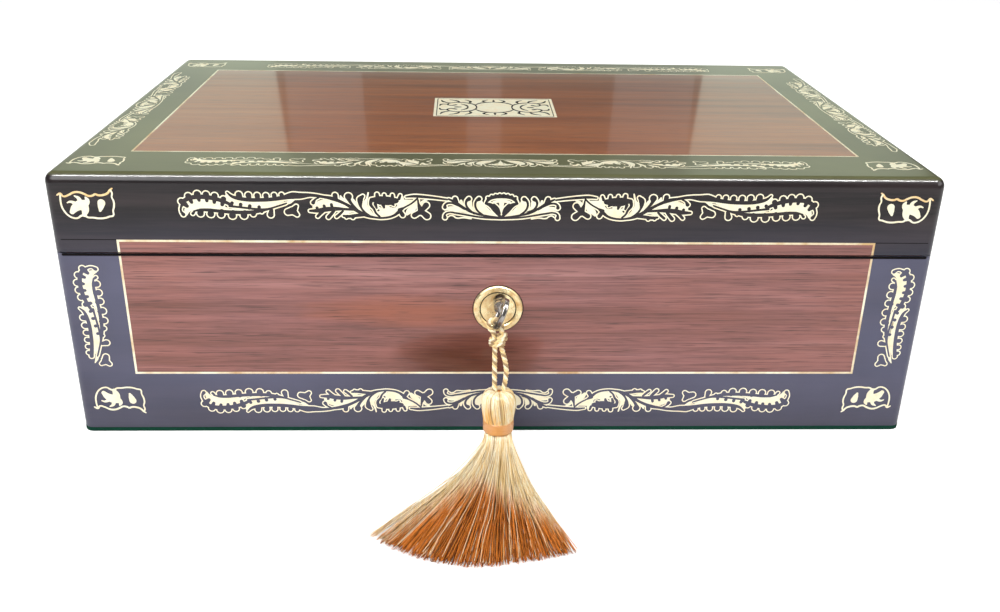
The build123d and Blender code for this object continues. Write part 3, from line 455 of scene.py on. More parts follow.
def silk_material(name, soft, turns=None, along=900.0, tip=None, shine=0.3):
    """Floss silk. Its strands take their shades from the attribute ply, where a mesh has it.

    turns is an axis and two places on it, between which the silk turns to the tip's colour, sooner in the
    middle than at the sides. On the skirt and the head that colour is painted shade.
    """
    nodes = new_material(name)
    strand = nodes.noise(along, 3.0, 0.7)
    silk = nodes.mix(nodes.spread(strand, 0.42, 0.70), soft.silk_cream, soft.silk_gold)
    ply = nodes.add("ShaderNodeAttribute", attribute_name="ply").outputs["Fac"]
    silk = nodes.mix(nodes.ramp(ply, (0.35, 0.0), (0.80, 0.75)), silk, soft.silk_gold)
    silk = nodes.mix(nodes.ramp(ply, (0.84, 0.0), (0.96, 0.75)), silk, soft.silk_shade)
    # The turn to the tip's colour is painted shade on the skirt and the head
    if turns:
        axis, start, end = turns
        axes = nodes.axes()
        ragged = nodes.times(nodes.noise((420.0, 26.0, 60.0), 4.0, 0.75), RAGGED)
        ragged = nodes.plus(ragged, nodes.times(ply, 0.5 * RAGGED))
        side = nodes.times(nodes.math("ABSOLUTE", nodes.plus(axes["X"], SKIRT_LEAN)), SIDE_LAG)
        depth = nodes.plus(nodes.plus(axes[axis], ragged), side)
        brown = nodes.mix(nodes.ramp(ply, (0.55, 0.0), (0.95, 0.9)), tip or soft.silk_painted_brown, soft.silk_dark)
        share = nodes.spread(depth, start, end, 0.0, 0.97)
        pale = nodes.ramp(ply, (0.02, 1.0), (0.03, 0.3), (0.13, 0.3), (0.15, 1.0))
        silk = nodes.mix(nodes.times(share, pale), silk, brown)
    rough = nodes.spread(strand, 0.3, 0.7, 0.24, 0.40)
    shines = {"Specular IOR Level": shine, "Anisotropic": 0.4}
    return nodes.surface(silk, rough, (strand, 0.00008, 0.5), shines)


def give(material, *names):
    """Puts a material on CAD nodes."""
    for name in names:
        slots = frame["nodes"][name].data.materials
        slots.clear()
        slots.append(material)


# Meshes


def linked(name, data):
    """A new object in the scene."""
    made = bpy.data.objects.new(name, data)
    bpy.context.scene.collection.objects.link(made)
    return made


def finished(name, mesh, material, body):
    """A piece of the model from a mesh that is already in place."""
    piece = linked(name, mesh)
    mesh.materials.clear()
    mesh.materials.append(material)
    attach(piece, body)
    return piece


def mesh_from(name, bm, smooth=False):
    bmesh.ops.recalc_face_normals(bm, faces=bm.faces)
    mesh = bpy.data.meshes.new(name)
    bm.to_mesh(mesh)
    bm.free()
    if smooth:
        mesh.shade_smooth()
    return mesh


def curve_mesh(curve):
    """The mesh of a curve, with the curve removed."""
    holder = linked(curve.name, curve)
    bpy.context.view_layer.update()
    mesh = bpy.data.meshes.new_from_object(holder.evaluated_get(bpy.context.evaluated_depsgraph_get()))
    bpy.data.objects.remove(holder)
    bpy.data.curves.remove(curve)
    return mesh


# Inlay, drawn as strokes in millimetres. A stroke is a row of points, each (across, up, half width)


STROKE_STEP = 0.001 * MM
STROKE_LEVELS = 10
# Narrower strokes end square, wider ones in a disc; half widths in millimetres
DISC_FROM = 0.22


def loose_parts(bm):
    """The vertices of each unconnected part of a mesh, in the order of their first vertex."""
    parts, seen = [], set()
    for first in bm.verts:
        if first in seen:
            continue
        part, edge = [], [first]
        seen.add(first)
        while edge:
            vert = edge.pop()
            part.append(vert)
            for link in vert.link_edges:
                other = link.other_vert(vert)
                if other not in seen:
                    seen.add(other)
                    edge.append(other)
        parts.append(part)
    return parts


def stroke_mesh(name, strokes, height, extra=0.0):
    """Flat strips along the strokes, as high as height each side of the face they lie on. extra widens them.

    Neighbouring strokes differ in height by STROKE_STEP, so that no two of their faces share a plane.
    """
    section = bpy.data.curves.new(name + "_section", "CURVE")
    corners = section.splines.new("POLY")
    corners.points.add(3)
    for point, (x, y) in zip(corners.points, ((-1, -1), (1, -1), (1, 1), (-1, 1))):
        point.co = (x * MM, y * MM, 0.0, 1.0)
    corners.use_cyclic_u = True
    profile = linked(name + "_profile", section)
    curve = bpy.data.curves.new(name, "CURVE")
    curve.dimensions = "3D"
    curve.twist_mode = "Z_UP"
    curve.bevel_mode = "OBJECT"
    curve.bevel_object = profile
    curve.resolution_u = 4
    for stroke in strokes:
        spline = curve.splines.new("BEZIER")
        spline.bezier_points.add(len(stroke) - 1)
        for point, (x, y, half) in zip(spline.bezier_points, stroke):
            point.co = (x * MM, y * MM, 0.0)
            point.handle_left_type = point.handle_right_type = "AUTO"
            point.radius = half + extra
    bpy.context.view_layer.update()
    mesh = curve_mesh(curve)
    bpy.data.objects.remove(profile)
    bpy.data.curves.remove(section)
    bm = bmesh.new()
    bm.from_mesh(mesh)
    bpy.data.meshes.remove(mesh)
    tubes = loose_parts(bm)
    bmesh.ops.holes_fill(bm, edges=bm.edges, sides=4)
    for index, (stroke, strip) in enumerate(zip(strokes, tubes)):
        level = height + index % STROKE_LEVELS * STROKE_STEP
        for vert in strip:
            vert.co.z = math.copysign(level, vert.co.z)
        for rise, (x, y, half) in ((0.3, stroke[0]), (0.6, stroke[-1])):
            if half + extra > DISC_FROM:
                radius, depth = (half + extra) * MM, 2 * (level + rise * STROKE_STEP)
                turn = Matrix.Translation((x * MM, y * MM, 0.0))
                bmesh.ops.create_cone(
                    bm, cap_ends=True, segments=14, radius1=radius, radius2=radius, depth=depth, matrix=turn
                )
    for face in bm.faces:
        face.smooth = False
    return mesh_from(name, bm)


# The frieze's left half, with its foot at 0 and its head at FRIEZE_HEIGHT. DARK leaves get a brass rim,
# BRASS shapes are plain, and TOP shapes lie on the dark leaves.
PALMETTE_DARK = [
    [(-20.9, 9.6, 0.4), (-18.4, 8.4, 0.6), (-15.6, 6.5, 0.5), (-12, 4.3, 0.5), (-6, 2.7, 0.45),
     (0, 1.9, 0.4)],
    [(-18.4, 9.7, 0.9), (-17.6, 8.4, 0.6)],
    [(-22.4, 6.2, 0.75), (-22.2, 7.3, 0.45), (-20.4, 8, 0.42), (-17.6, 7.2, 0.45), (-14.6, 5.5, 0.45)],
    [(-22.4, 1.9, 0.75), (-22.4, 3.2, 0.42), (-20.8, 4.1, 0.35), (-18, 3.8, 0.42), (-14, 3.1, 0.4),
     (-8, 2.1, 0.4), (0, 1.7, 0.4)],
    [(-12.9, 9.7, 0.88), (-13.9, 8.8, 0.55), (-14, 7.2, 0.45), (-12.9, 5.4, 0.45), (-10.8, 3.6, 0.4)],
    [(-8.9, 9.7, 0.88), (-10, 8.9, 0.5), (-10.4, 7, 0.45), (-9.6, 5, 0.42), (-7.4, 3.1, 0.4)],
    [(-6.3, 7.9, 0.45), (-5, 9.7, 0.75), (-2.8, 10.6, 0.8), (0, 10.9, 0.85)],
    [(-5.5, 10.2, 0.55), (-5, 9.6, 0.5)], [(-4, 10.9, 0.55), (-3.8, 10.2, 0.5)],
    [(-2.4, 11.3, 0.55), (-2.4, 10.6, 0.5)], [(-0.8, 11.5, 0.55), (-0.8, 10.8, 0.5)],
    [(-6.2, 7.8, 0.45), (-4.4, 7.2, 0.9), (-2.8, 5.4, 0.95), (-1.2, 3.4, 0.7), (0, 2, 0.4)],
    [(-3, 7.2, 0.7), (-1.6, 5.6, 0.8), (-0.8, 3.8, 0.6)],
]
PALMETTE_BRASS = [
    [(-22.4, 5.2, 0.4), (-20.6, 5.8, 0.75), (-18, 5.6, 0.9), (-15.6, 4.7, 0.6), (-13.4, 3.9, 0.15)],
    [(-16, 8.9, 0.5), (-15.4, 7.4, 0.4), (-14.6, 6.1, 0.15)],
    [(-12.4, 8.4, 0.7), (-12.3, 6.8, 0.75), (-11.2, 5, 0.6), (-9.2, 3.1, 0.2)],
    [(-8.4, 8.4, 0.9), (-8, 6.4, 1.7), (-6.4, 4.7, 1.7), (-4, 3.5, 0.9), (-2.6, 3, 0.35)],
    [(-21, 2.2, 0.26), (-20.2, 2.8, 0.28), (-18.9, 2.5, 0.28), (-18, 1.8, 0.28), (-15, 1.9, 0.28),
     (-12, 1.5, 0.28)],
]
PALMETTE_TOP = [
    [(-3.2, 8.5, 0.45), (-1.6, 8.8, 0.6), (0, 8.9, 0.65)],
    [(0, 8.6, 1.1), (0, 6.6, 0.8), (0, 4.2, 0.3)],
]
TREFOIL_DARK = [
    [(-37.6, 10.4, 0.35), (-34.5, 10.7, 0.6), (-31, 10.5, 0.6), (-26, 10, 0.5), (-21.5, 9.4, 0.4)],
    [(-40.2, 4.9, 0.9), (-38.4, 6, 0.35), (-35.4, 7.8, 0.35), (-33.2, 9.8, 0.4)],
    [(-33, 9.2, 0.35), (-32.8, 7.6, 0.45), (-32.2, 5.6, 1), (-31.8, 4.2, 1.3)],
    [(-29.8, 7, 1.2), (-31.2, 5.2, 0.9)], [(-34.5, 2.8, 1), (-32.6, 4, 0.9)],
    [(-29.5, 2.5, 1.3), (-31.2, 4, 1)], [(-39.1, 2.8, 0.85), (-40.2, 4.7, 0.8)],
]
TREFOIL_BRASS = [
    [(-37.4, 3.4, 0.7), (-36.4, 4.6, 1.2), (-34.9, 5.8, 1.2), (-33.8, 7.6, 0.3)],
    [(-29.5, 9.2, 0.3), (-31.3, 8.5, 0.4), (-32, 7.2, 0.28)],
]
ACANTHUS_DARK = [
    [(-85.5, 9.8, 0.9), (-82, 10.6, 1.4), (-79, 10.6, 1.2), (-75, 10.9, 0.7), (-70, 10.2, 0.6),
     (-66.5, 9.5, 0.8), (-62, 7.6, 0.6), (-58, 5.2, 0.75), (-54, 2.9, 0.75), (-50, 1.8, 0.45),
     (-46, 1.7, 0.45), (-42.5, 2.7, 0.5), (-40.6, 4.2, 0.7)],
    [(-65.4, 10.9, 1), (-65.2, 9.2, 0.9)],
    [(-60.2, 10.4, 1.4), (-59.9, 8.8, 0.7), (-58.4, 6.6, 0.5), (-56.6, 4.6, 0.45)],
    [(-54.6, 10.6, 0.6), (-55.6, 9.3, 1.2), (-55.7, 7.8, 0.9), (-55.4, 6, 0.45), (-54, 3.9, 0.45),
     (-52, 2.4, 0.4)],
    [(-51.2, 9.2, 0.8), (-48, 8.9, 1.8), (-44.5, 8.7, 1.8), (-41.6, 8.8, 1.1)],
    [(-51.2, 9.2, 0.8), (-51.6, 7.2, 0.65), (-50.4, 5.4, 0.5), (-49.6, 3.6, 0.42), (-48.2, 2.2, 0.4)],
    [(-49, 11.4, 0.7), (-48.8, 9.6, 0.9)], [(-46.2, 11.2, 0.55), (-46, 9.8, 0.8)],
    [(-43, 11.1, 0.6), (-43, 9.6, 0.8)], [(-39.9, 11, 0.5), (-40.4, 9.6, 0.6)],
    [(-49.3, 5.8, 0.45), (-49.8, 7.4, 0.7)], [(-46.4, 6, 0.5), (-46.8, 7.6, 0.9)],
    [(-42.6, 7, 0.45), (-43.4, 7.8, 0.8)],
    [(-75.5, 4.4, 0.5), (-72.5, 4.5, 0.85), (-69.5, 5, 1), (-66, 5.3, 0.9), (-62, 5.2, 0.55),
     (-58.5, 5, 0.5)],
    [(-74.1, 7.8, 0.8), (-73.2, 9.1, 0.4), (-71.8, 9.9, 0.35)], [(-72.7, 5.7, 0.6), (-72.4, 4.8, 0.6)],
    [(-69.9, 6.5, 0.6), (-69.6, 5.4, 0.6)], [(-67, 7.1, 0.6), (-66.8, 5.8, 0.6)],
    [(-72.6, 2.1, 0.6), (-71.6, 3.2, 0.65), (-70.4, 4.2, 0.6)],
    [(-68.4, 1.8, 0.75), (-67.2, 3.2, 0.7), (-66.2, 4.4, 0.6)],
    [(-65.2, 2, 0.55), (-63.8, 3.2, 0.55), (-62.6, 4.4, 0.45)],
    [(-62.4, 2.4, 0.45), (-60.5, 2.2, 0.65), (-58, 2.5, 0.7), (-54.6, 2.9, 0.7)],
    [(-61.3, 1.8, 0.55), (-60.8, 2.4, 0.5)], [(-58.8, 1.7, 0.65), (-58.3, 2.4, 0.6)],
]
ACANTHUS_BRASS = [
    [(-63.3, 10.6, 0.3), (-62.8, 9.2, 0.95), (-61.4, 8.2, 0.6), (-60.3, 7.2, 0.15)],
    [(-58.7, 9, 0.7), (-57.9, 7.6, 0.95), (-56.9, 6, 0.6), (-56.2, 4.6, 0.15)],
    [(-52.4, 12, 0.3), (-53, 9.6, 0.4), (-53.8, 7.2, 0.9), (-53.2, 5.2, 1.25), (-51.8, 3.6, 0.9),
     (-49.9, 2.4, 0.15)],
    [(-49, 3.8, 0.35), (-47, 3.9, 1.4), (-44.6, 4.2, 1.9), (-42.6, 4.6, 1.6), (-41.8, 5.2, 0.9)],
    [(-47.4, 4.9, 0.7), (-48.5, 6.1, 0.3)], [(-44.6, 5.6, 0.8), (-45.2, 6.9, 0.3)],
    [(-41.6, 5.4, 0.6), (-39.9, 6.8, 1), (-38.6, 7.8, 1.5), (-36.6, 8.4, 0.9), (-34.2, 9, 0.2)],
    [(-39.2, 8.6, 0.8), (-39, 10.4, 0.4)], [(-40.4, 7.3, 0.5), (-41.7, 7.6, 0.25)],
    [(-73.6, 6, 0.9), (-71.4, 7.4, 1.3), (-68.5, 7.6, 1.5), (-65.5, 7.3, 0.95), (-62.2, 6.5, 0.2)],
    [(-62.9, 2.9, 0.3), (-61, 3.8, 0.6), (-59.3, 4.2, 0.45), (-57, 3.8, 0.15)],
]
FERN_DARK = [
    [(-125, 7.8, 0.8), (-122.4, 9.3, 0.9), (-118.9, 9.9, 0.95), (-115.5, 9.8, 0.95), (-112.2, 9.2, 0.9),
     (-109, 8.1, 0.8), (-106.2, 6.8, 0.6)],
    [(-125.3, 8, 1.2), (-124.2, 7, 1.1), (-123.3, 6.1, 0.75)],
    [(-124.6, 7.4, 0.8), (-125.7, 5.6, 0.45), (-125.9, 4, 0.45), (-125.1, 2.6, 0.8)],
    [(-122.4, 10.2, 1.25), (-121.4, 7.7, 0.7)], [(-118.9, 11, 1.35), (-118.4, 8.5, 0.65)],
    [(-115.5, 10.9, 1.25), (-115.4, 8.3, 0.65)], [(-112.2, 10.4, 1.2), (-112.6, 7.7, 0.7)],
    [(-108.9, 9.1, 1.1), (-109.6, 6.8, 0.75)],
    [(-121, 4, 0.3), (-118.4, 4.5, 0.6), (-115, 4.5, 0.7), (-111, 4.1, 0.7), (-106, 3.7, 0.75),
     (-101, 3.6, 0.8), (-97, 3.9, 0.75), (-93, 4.7, 0.55), (-89, 5.9, 0.35), (-85, 7.2, 0.3)],
    [(-121.4, 3, 0.6), (-120.8, 3.6, 0.45)], [(-118.4, 3.1, 1.3), (-118, 4.2, 1)],
    [(-114.4, 2.9, 1.35), (-114.2, 4.2, 1)], [(-110.4, 2.7, 1.3), (-110, 4, 1)],
    [(-106, 2.3, 1.4), (-105.6, 3.6, 1)], [(-101.5, 2.3, 1.35), (-101, 3.6, 1)],
    [(-97.8, 2.9, 0.95), (-97.2, 3.8, 0.8)], [(-94.4, 3.8, 0.55), (-94, 4.4, 0.5)],
    [(-91, 2.7, 1.15), (-90.6, 4.6, 0.8)],
    [(-107.2, 11.7, 0.35), (-105.6, 10.2, 0.6), (-103.5, 9.5, 0.8), (-100, 8.9, 0.8), (-95, 8.8, 0.8),
     (-90, 9.1, 0.8), (-84.5, 10, 0.9)],
    [(-102.8, 10.9, 1.25), (-102.4, 9.6, 1)], [(-99.1, 10.7, 1.2), (-98.9, 9.4, 0.9)],
    [(-95.7, 10.6, 1.1), (-95.6, 9.3, 0.9)], [(-92.3, 10.6, 1.05), (-92.2, 9.3, 0.9)],
    [(-89.1, 10.8, 0.95), (-89, 9.4, 0.8)], [(-86.2, 11, 0.85), (-86, 9.9, 0.8)],
    [(-106.8, 6.2, 0.5), (-104, 5.9, 0.45), (-100, 5.4, 0.45), (-96, 5, 0.45), (-92, 5.1, 0.4),
     (-88, 6.3, 0.35), (-84.5, 7.5, 0.3)],
    [(-105.7, 7.5, 0.7), (-106.2, 6.4, 0.6)], [(-102.4, 6.9, 0.75), (-102.6, 5.9, 0.6)],
    [(-98.9, 6.3, 0.75), (-99.2, 5.3, 0.6)], [(-95.3, 5.9, 0.7), (-95.4, 5.1, 0.6)],
    [(-84.2, 3.9, 1.2), (-82.2, 4.6, 1.45), (-80.8, 6.3, 0.65)],
    [(-82.2, 4.4, 1.35), (-80.7, 2.8, 0.8)],
]
FERN_BRASS = [
    [(-123.9, 2.7, 0.5), (-123.4, 4.4, 1.2), (-121.5, 6, 1.6), (-118.5, 6.9, 1.8), (-115, 7, 1.7),
     (-111.5, 6.2, 1.3), (-107.6, 4.9, 0.5)],
    [(-107.6, 10.6, 0.5), (-106.6, 9, 0.9), (-104, 7.8, 0.9), (-99, 7, 1.1), (-94, 6.9, 1.2),
     (-89.5, 7.4, 0.8), (-85.6, 8.4, 0.25)],
    [(-86, 7.4, 0.4), (-83.4, 7.9, 0.7), (-81.4, 8.9, 0.25)],
]
CARTOUCHE_LINE = [
    [(-171.7, 10.2, 0.34), (-171.9, 8, 0.34), (-171.7, 5.4, 0.34), (-170.9, 3.4, 0.34),
     (-169.6, 1.8, 0.34), (-167.9, 0.9, 0.34), (-166.3, 0.9, 0.34), (-164.9, 1.8, 0.4),
     (-163.6, 2, 0.45), (-162.3, 1.2, 0.36), (-160.4, 1.1, 0.34), (-158, 0.8, 0.36),
     (-155.6, 1, 0.36), (-153.8, 1.6, 0.34), (-152.4, 2, 0.34), (-152.2, 4, 0.3),
     (-151.6, 5.9, 0.36), (-151.5, 8, 0.34), (-152, 9.6, 0.3), (-151.7, 11.2, 0.34),
     (-152.1, 12.4, 0.34)],
]
CARTOUCHE_EDGE = [
    [(-172.9, 10.3, 0.3), (-171.6, 10.9, 0.42), (-170.6, 9.8, 0.36), (-168.6, 10.3, 0.38),
     (-166.4, 11.4, 0.42), (-164.3, 11.5, 0.42), (-162.4, 10.8, 0.42), (-160.8, 10, 0.4),
     (-159.2, 10.2, 0.42), (-158.3, 10.7, 0.42), (-157, 10.3, 0.42), (-154.9, 10.5, 0.42),
     (-153.4, 11.2, 0.42), (-152.3, 12.5, 0.4), (-151.5, 13.1, 0.28)],
]
CARTOUCHE_LEAF = [
    [(-168.1, 3.4, 0.95), (-166.9, 4.9, 1.5), (-164.8, 6.2, 2), (-163, 6.8, 1.75), (-161.7, 8.2, 1),
     (-162.1, 9.4, 0.35)],
    [(-164.3, 7.2, 1), (-164.9, 9.1, 0.7), (-166.3, 10, 0.25)],
    [(-166.4, 6.9, 0.8), (-168.2, 7.6, 0.45), (-169.6, 7.1, 0.22)],
    [(-163.3, 6, 1.9), (-163, 4.2, 1.5), (-163.6, 2.2, 0.8)],
    [(-157.2, 4, 0.5), (-156.8, 5.4, 1.1), (-156.3, 7.2, 1.5)],
]

# One quarter of the plaque's engraving
PLAQUE_CUTS = [
    [(0, 17.5, 0.2), (28, 17.5, 0.2)], [(28, 17.5, 0.2), (28, 0, 0.2)],
    [(8.6, 0, 0.3), (9.4, 4.4, 0.5), (12.4, 8, 0.6), (17, 9.6, 0.5), (21.4, 8.3, 0.5),
     (23, 5.4, 0.5), (21.2, 3.2, 0.6), (18.9, 4.4, 0.8)],
    [(12.4, 8, 0.35), (11.6, 11.8, 0.75), (14.2, 15, 0.25)],
    [(17, 9.6, 0.35), (18.2, 12.8, 0.75), (22, 15.2, 0.25)],
    [(21.4, 8.3, 0.35), (25, 10.8, 0.75), (26.2, 14.4, 0.25)],
    [(23, 5.4, 0.35), (25.8, 5.6, 0.7), (26.8, 2.4, 0.25)],
    [(9.4, 4.4, 0.3), (6.6, 8.6, 0.6), (3.2, 10.2, 0.6), (0, 10.5, 0.3)],
    [(3.2, 10.2, 0.3), (5.4, 12.6, 0.7), (3, 15.4, 0.25)], [(0, 12.2, 0.7), (0, 15.2, 0.3)],
    [(12.8, 0, 0.3), (13.8, 3.6, 0.6), (16.2, 6.4, 0.3)], [(16.6, 0, 0.6), (19.4, 0.8, 0.3)],
]

FRIEZE_HEIGHT = 12.5
FERN_SIZE = 0.965
FERN_END = 127.4
FERN_INNER = -160.0
FERN_TIP = 77.5
LID_FRIEZE_FOOT = 96.0
CASE_FRIEZE_FOOT = 8.9
CASE_CORNER_FOOT = 9.6
CASE_CORNER_SIZE = 0.994
SHORT_ACROSS = 0.86
SHORT_UP = 0.95
FRIEZE_FOOT_X = 162.0
FRIEZE_FOOT_Y = 89.8
PANEL_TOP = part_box("lid_front_stringing")[1].z / MM
JOINT_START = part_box("lid_front_stringing")[0].x / MM
JOINT_INSET = 3.6
JOINT_END = CAD_BOX[0].x / MM + JOINT_INSET
SEAM_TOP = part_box("case_front_panel")[1].z / MM
SEAM_HALF = 174.4
SEAM_SHADE = 0.55
LINE_SHARE = 0.4
TO_FRONT = Matrix(((1, 0, 0, 0), (0, 0, -1, 0), (0, 1, 0, 0), (0, 0, 0, 1)))


def on_front(up):
    """Carries a drawing to the front of the box, with its foot at that height."""
    return Matrix.Translation((0.0, FRONT_Y, up * MM)) @ TO_FRONT


def on_top(right, back, turn=0.0):
    """Carries a drawing to the top of the lid, turned by that many degrees."""
    return Matrix.Translation((right * MM, back * MM, TOP_Z)) @ Matrix.Rotation(math.radians(turn), 4, "Z")


def changed(strokes, change):
    """Strokes with each point changed. change takes and gives back (across, up, half width)."""
    return [[change(*point) for point in stroke] for stroke in strokes]


def mirrored(strokes):
    return changed(strokes, lambda x, y, half: (-x, y, half))


class Drawing:
    """Strokes in three layers: dark leaves with brass rims, brass shapes, brass details on the leaves."""

    def __init__(self, dark, brass, top=()):
        self.layers = (list(dark), list(brass), list(top))

    def changed(self, change):
        return Drawing(*(changed(layer, change) for layer in self.layers))

    def joined(self, other):
        return Drawing(*(mine + more for mine, more in zip(self.layers, other.layers)))

    def with_mirror(self):
        return self.joined(Drawing(*map(mirrored, self.layers)))

    def upside_down(self):
        return self.changed(lambda x, y, half: (x, FRIEZE_HEIGHT - y, half))


def lay_strokes(name, layers, places, body, material):
    """One flat piece from layers of strokes, at each of the places.

    A layer is its strokes, their height and how far they are widened.
    """
    bm = bmesh.new()
    for strokes, height, extra in layers:
        mesh = stroke_mesh(name, strokes, height, extra)
        for place in places:
            start = len(bm.verts)
            bm.from_mesh(mesh)
            bm.verts.ensure_lookup_table()
            bmesh.ops.transform(bm, matrix=place, verts=bm.verts[start:])
        bpy.data.meshes.remove(mesh)
    finished(name, mesh_from(name, bm), material, body)


def lay_line(inlay, name, strokes, place, body):
    """A piece of dark lines, nearly level with the face that they lie on: wax in joints and engraving,
    painted shadow along the seam and round the escutcheon.
    """
    layers = [(strokes, LINE_SHARE * inlay.ground_height, 0.0)]
    lay_strokes(name, layers, [place], body, bpy.data.materials["wax_and_shadow_lines"])


def lay_inlay(inlay, name, drawing, places, body, brass="pale_brass"):
    """Brass and dark inlay from a drawing, at each of the places."""
    ground, layer = inlay.ground_height, inlay.layer
    leaves, shapes, details = drawing.layers
    brasses = [(shapes, ground + 0.2 * layer, 0.0)]
    if leaves:
        brasses.append((leaves, ground, inlay.rim / MM))
        dark = bpy.data.materials[body + "_leaves"]
        lay_strokes(name + "_leaves", [(leaves, ground + layer, 0.0)], places, body, dark)
    if details:
        brasses.append((details, ground + 2.0 * layer, 0.0))
    lay_strokes(name + "_brass", brasses, places, body, bpy.data.materials[brass])


def frieze_drawing(dark=(), brass=()):
    """The frieze, with other leaves and shapes joined to its two ends."""
    left = Drawing(
        [*PALMETTE_DARK, *TREFOIL_DARK, *ACANTHUS_DARK, *dark],
        [*PALMETTE_BRASS, *TREFOIL_BRASS, *ACANTHUS_BRASS, *brass],
        PALMETTE_TOP,
    )
    return left.with_mirror()


def short_frieze_drawing():
    """The frieze without its ferns, drawn a little smaller, for the ends of the top."""
    return frieze_drawing().changed(lambda x, y, half: (x * SHORT_ACROSS, y * SHORT_UP, half * SHORT_ACROSS))


def standing_fern_drawing():
    """The frieze's fern stood on end, at the left and the right side of the front."""

    def stood(x, y, half):
        return FERN_INNER - y * FERN_SIZE, FERN_TIP - (FERN_END + x) * FERN_SIZE, half * FERN_SIZE

    return Drawing(FERN_DARK, FERN_BRASS).changed(stood).with_mirror()


# Cord and tassel

CORD_FOOT = (-132.0, 28.2)
CORD_LEAN = math.radians(6.51)
TASSEL_X = -0.4
CORD_ROUTE = (
    (-2.0, 28.2), (-2.3, 34.4), (-2.2, 41.0), (-2.25, 48.4), (-2.27, 54.1), (-4.785, 56.403),
    (-4.785, 59.953), (0.515, 59.953), (0.515, 56.403), (0.27, 54.1), (0.25, 48.2), (2.3, 41.4),
    (2.7, 35.6), (1.2, 28.2),
)
# Shades of the rope's three strands, written as the attribute ply
ROPE_SHADES = (0.0, 0.84, 0.97)
# How much thicker the strands are than touching ones, so that they press into each other
ROPE_PRESS = 1.03


def on_cord(across, up, forward=0.0):
    """A place on the leaning plane of the cord's loop, in metres. up is measured along the plane."""
    rise = up - CORD_FOOT[1]
    y = CORD_FOOT[0] + rise * math.sin(CORD_LEAN) - forward * math.cos(CORD_LEAN)
    z = CORD_FOOT[1] + rise * math.cos(CORD_LEAN) + forward * math.sin(CORD_LEAN)
    return Vector((across, y, z)) * MM


def spline_points(name, points, resolution=10):
    """Points along a NURBS spline of order 3 through the route, given in metres."""
    curve = bpy.data.curves.new(name, "CURVE")
    curve.dimensions = "3D"
    spline = curve.splines.new("NURBS")
    spline.points.add(len(points) - 1)
    for point, place in zip(spline.points, points):
        point.co = (*place, 1.0)
    spline.order_u = 3
    spline.use_endpoint_u = True
    spline.resolution_u = resolution
    mesh = curve_mesh(curve)
    line = [v.co.copy() for v in mesh.vertices]
    bpy.data.meshes.remove(mesh)
    return line


def even_points(line, step):
    """The same line with points that step apart."""
    lengths = [0.0]
    for first, second in zip(line, line[1:]):
        lengths.append(lengths[-1] + (second - first).length)
    total = int(lengths[-1] / step)
    points, at = [], 0
    for index in range(total + 1):
        want = lengths[-1] * index / total
        while at < len(line) - 2 and lengths[at + 1] < want:
            at += 1
        share = (want - lengths[at]) / max(lengths[at + 1] - lengths[at], 1e-9)
        points.append(line[at].lerp(line[at + 1], min(1.0, share)))
    return points


def tube_mesh(name, lines, radius, sides):
    """Tubes along lines of points, as one mesh."""
    curve = bpy.data.curves.new(name, "CURVE")
    curve.dimensions = "3D"
    curve.bevel_depth = radius
    curve.bevel_resolution = max(0, (sides - 4) // 2)
    for line in lines:
        spline = curve.splines.new("POLY")
        spline.points.add(len(line) - 1)
        for point, place in zip(spline.points, line):
            point.co = (*place, 1.0)
    mesh = curve_mesh(curve)
    mesh.shade_smooth()
    return mesh


def rope_lines(line, offset, pitch, step):
    """The strands of a rope, wound round a line."""
    points = even_points(line, step)
    side = Vector((0.0, 1.0, 0.0))
    strands = len(ROPE_SHADES)
    lines = [[] for _ in range(strands)]
    for index, place in enumerate(points):
        ahead = points[min(index + 1, len(points) - 1)] - points[max(index - 1, 0)]
        ahead.normalize()
        side = (side - ahead * side.dot(ahead)).normalized()
        up = ahead.cross(side)
        for strand in range(strands):
            turn = 2 * math.pi * (strand / strands - index * step / pitch)
            lines[strand].append(place + (side * math.cos(turn) + up * math.sin(turn)) * offset)
    return lines


def shade_plies(mesh, shades):
    """Writes the attribute ply: one shade for each tube of the mesh. All its tubes have as many vertices."""
    each = len(mesh.vertices) // len(shades)
    values = [shades[min(len(shades) - 1, index // each)] for index in range(len(mesh.vertices))]
    mesh.attributes.new("ply", "FLOAT", "POINT").data.foreach_set("value", values)


def rope_mesh(name, line, diameter, pitch, step):
    """A laid rope of that outer diameter along a line."""
    share = 1.0 / (1.0 + 1.0 / math.sin(math.pi / len(ROPE_SHADES)))
    radius = diameter / 2 * share * ROPE_PRESS
    mesh = tube_mesh(name, rope_lines(line, diameter / 2 - radius, pitch, step), radius, 8)
    shade_plies(mesh, ROPE_SHADES)
    return mesh


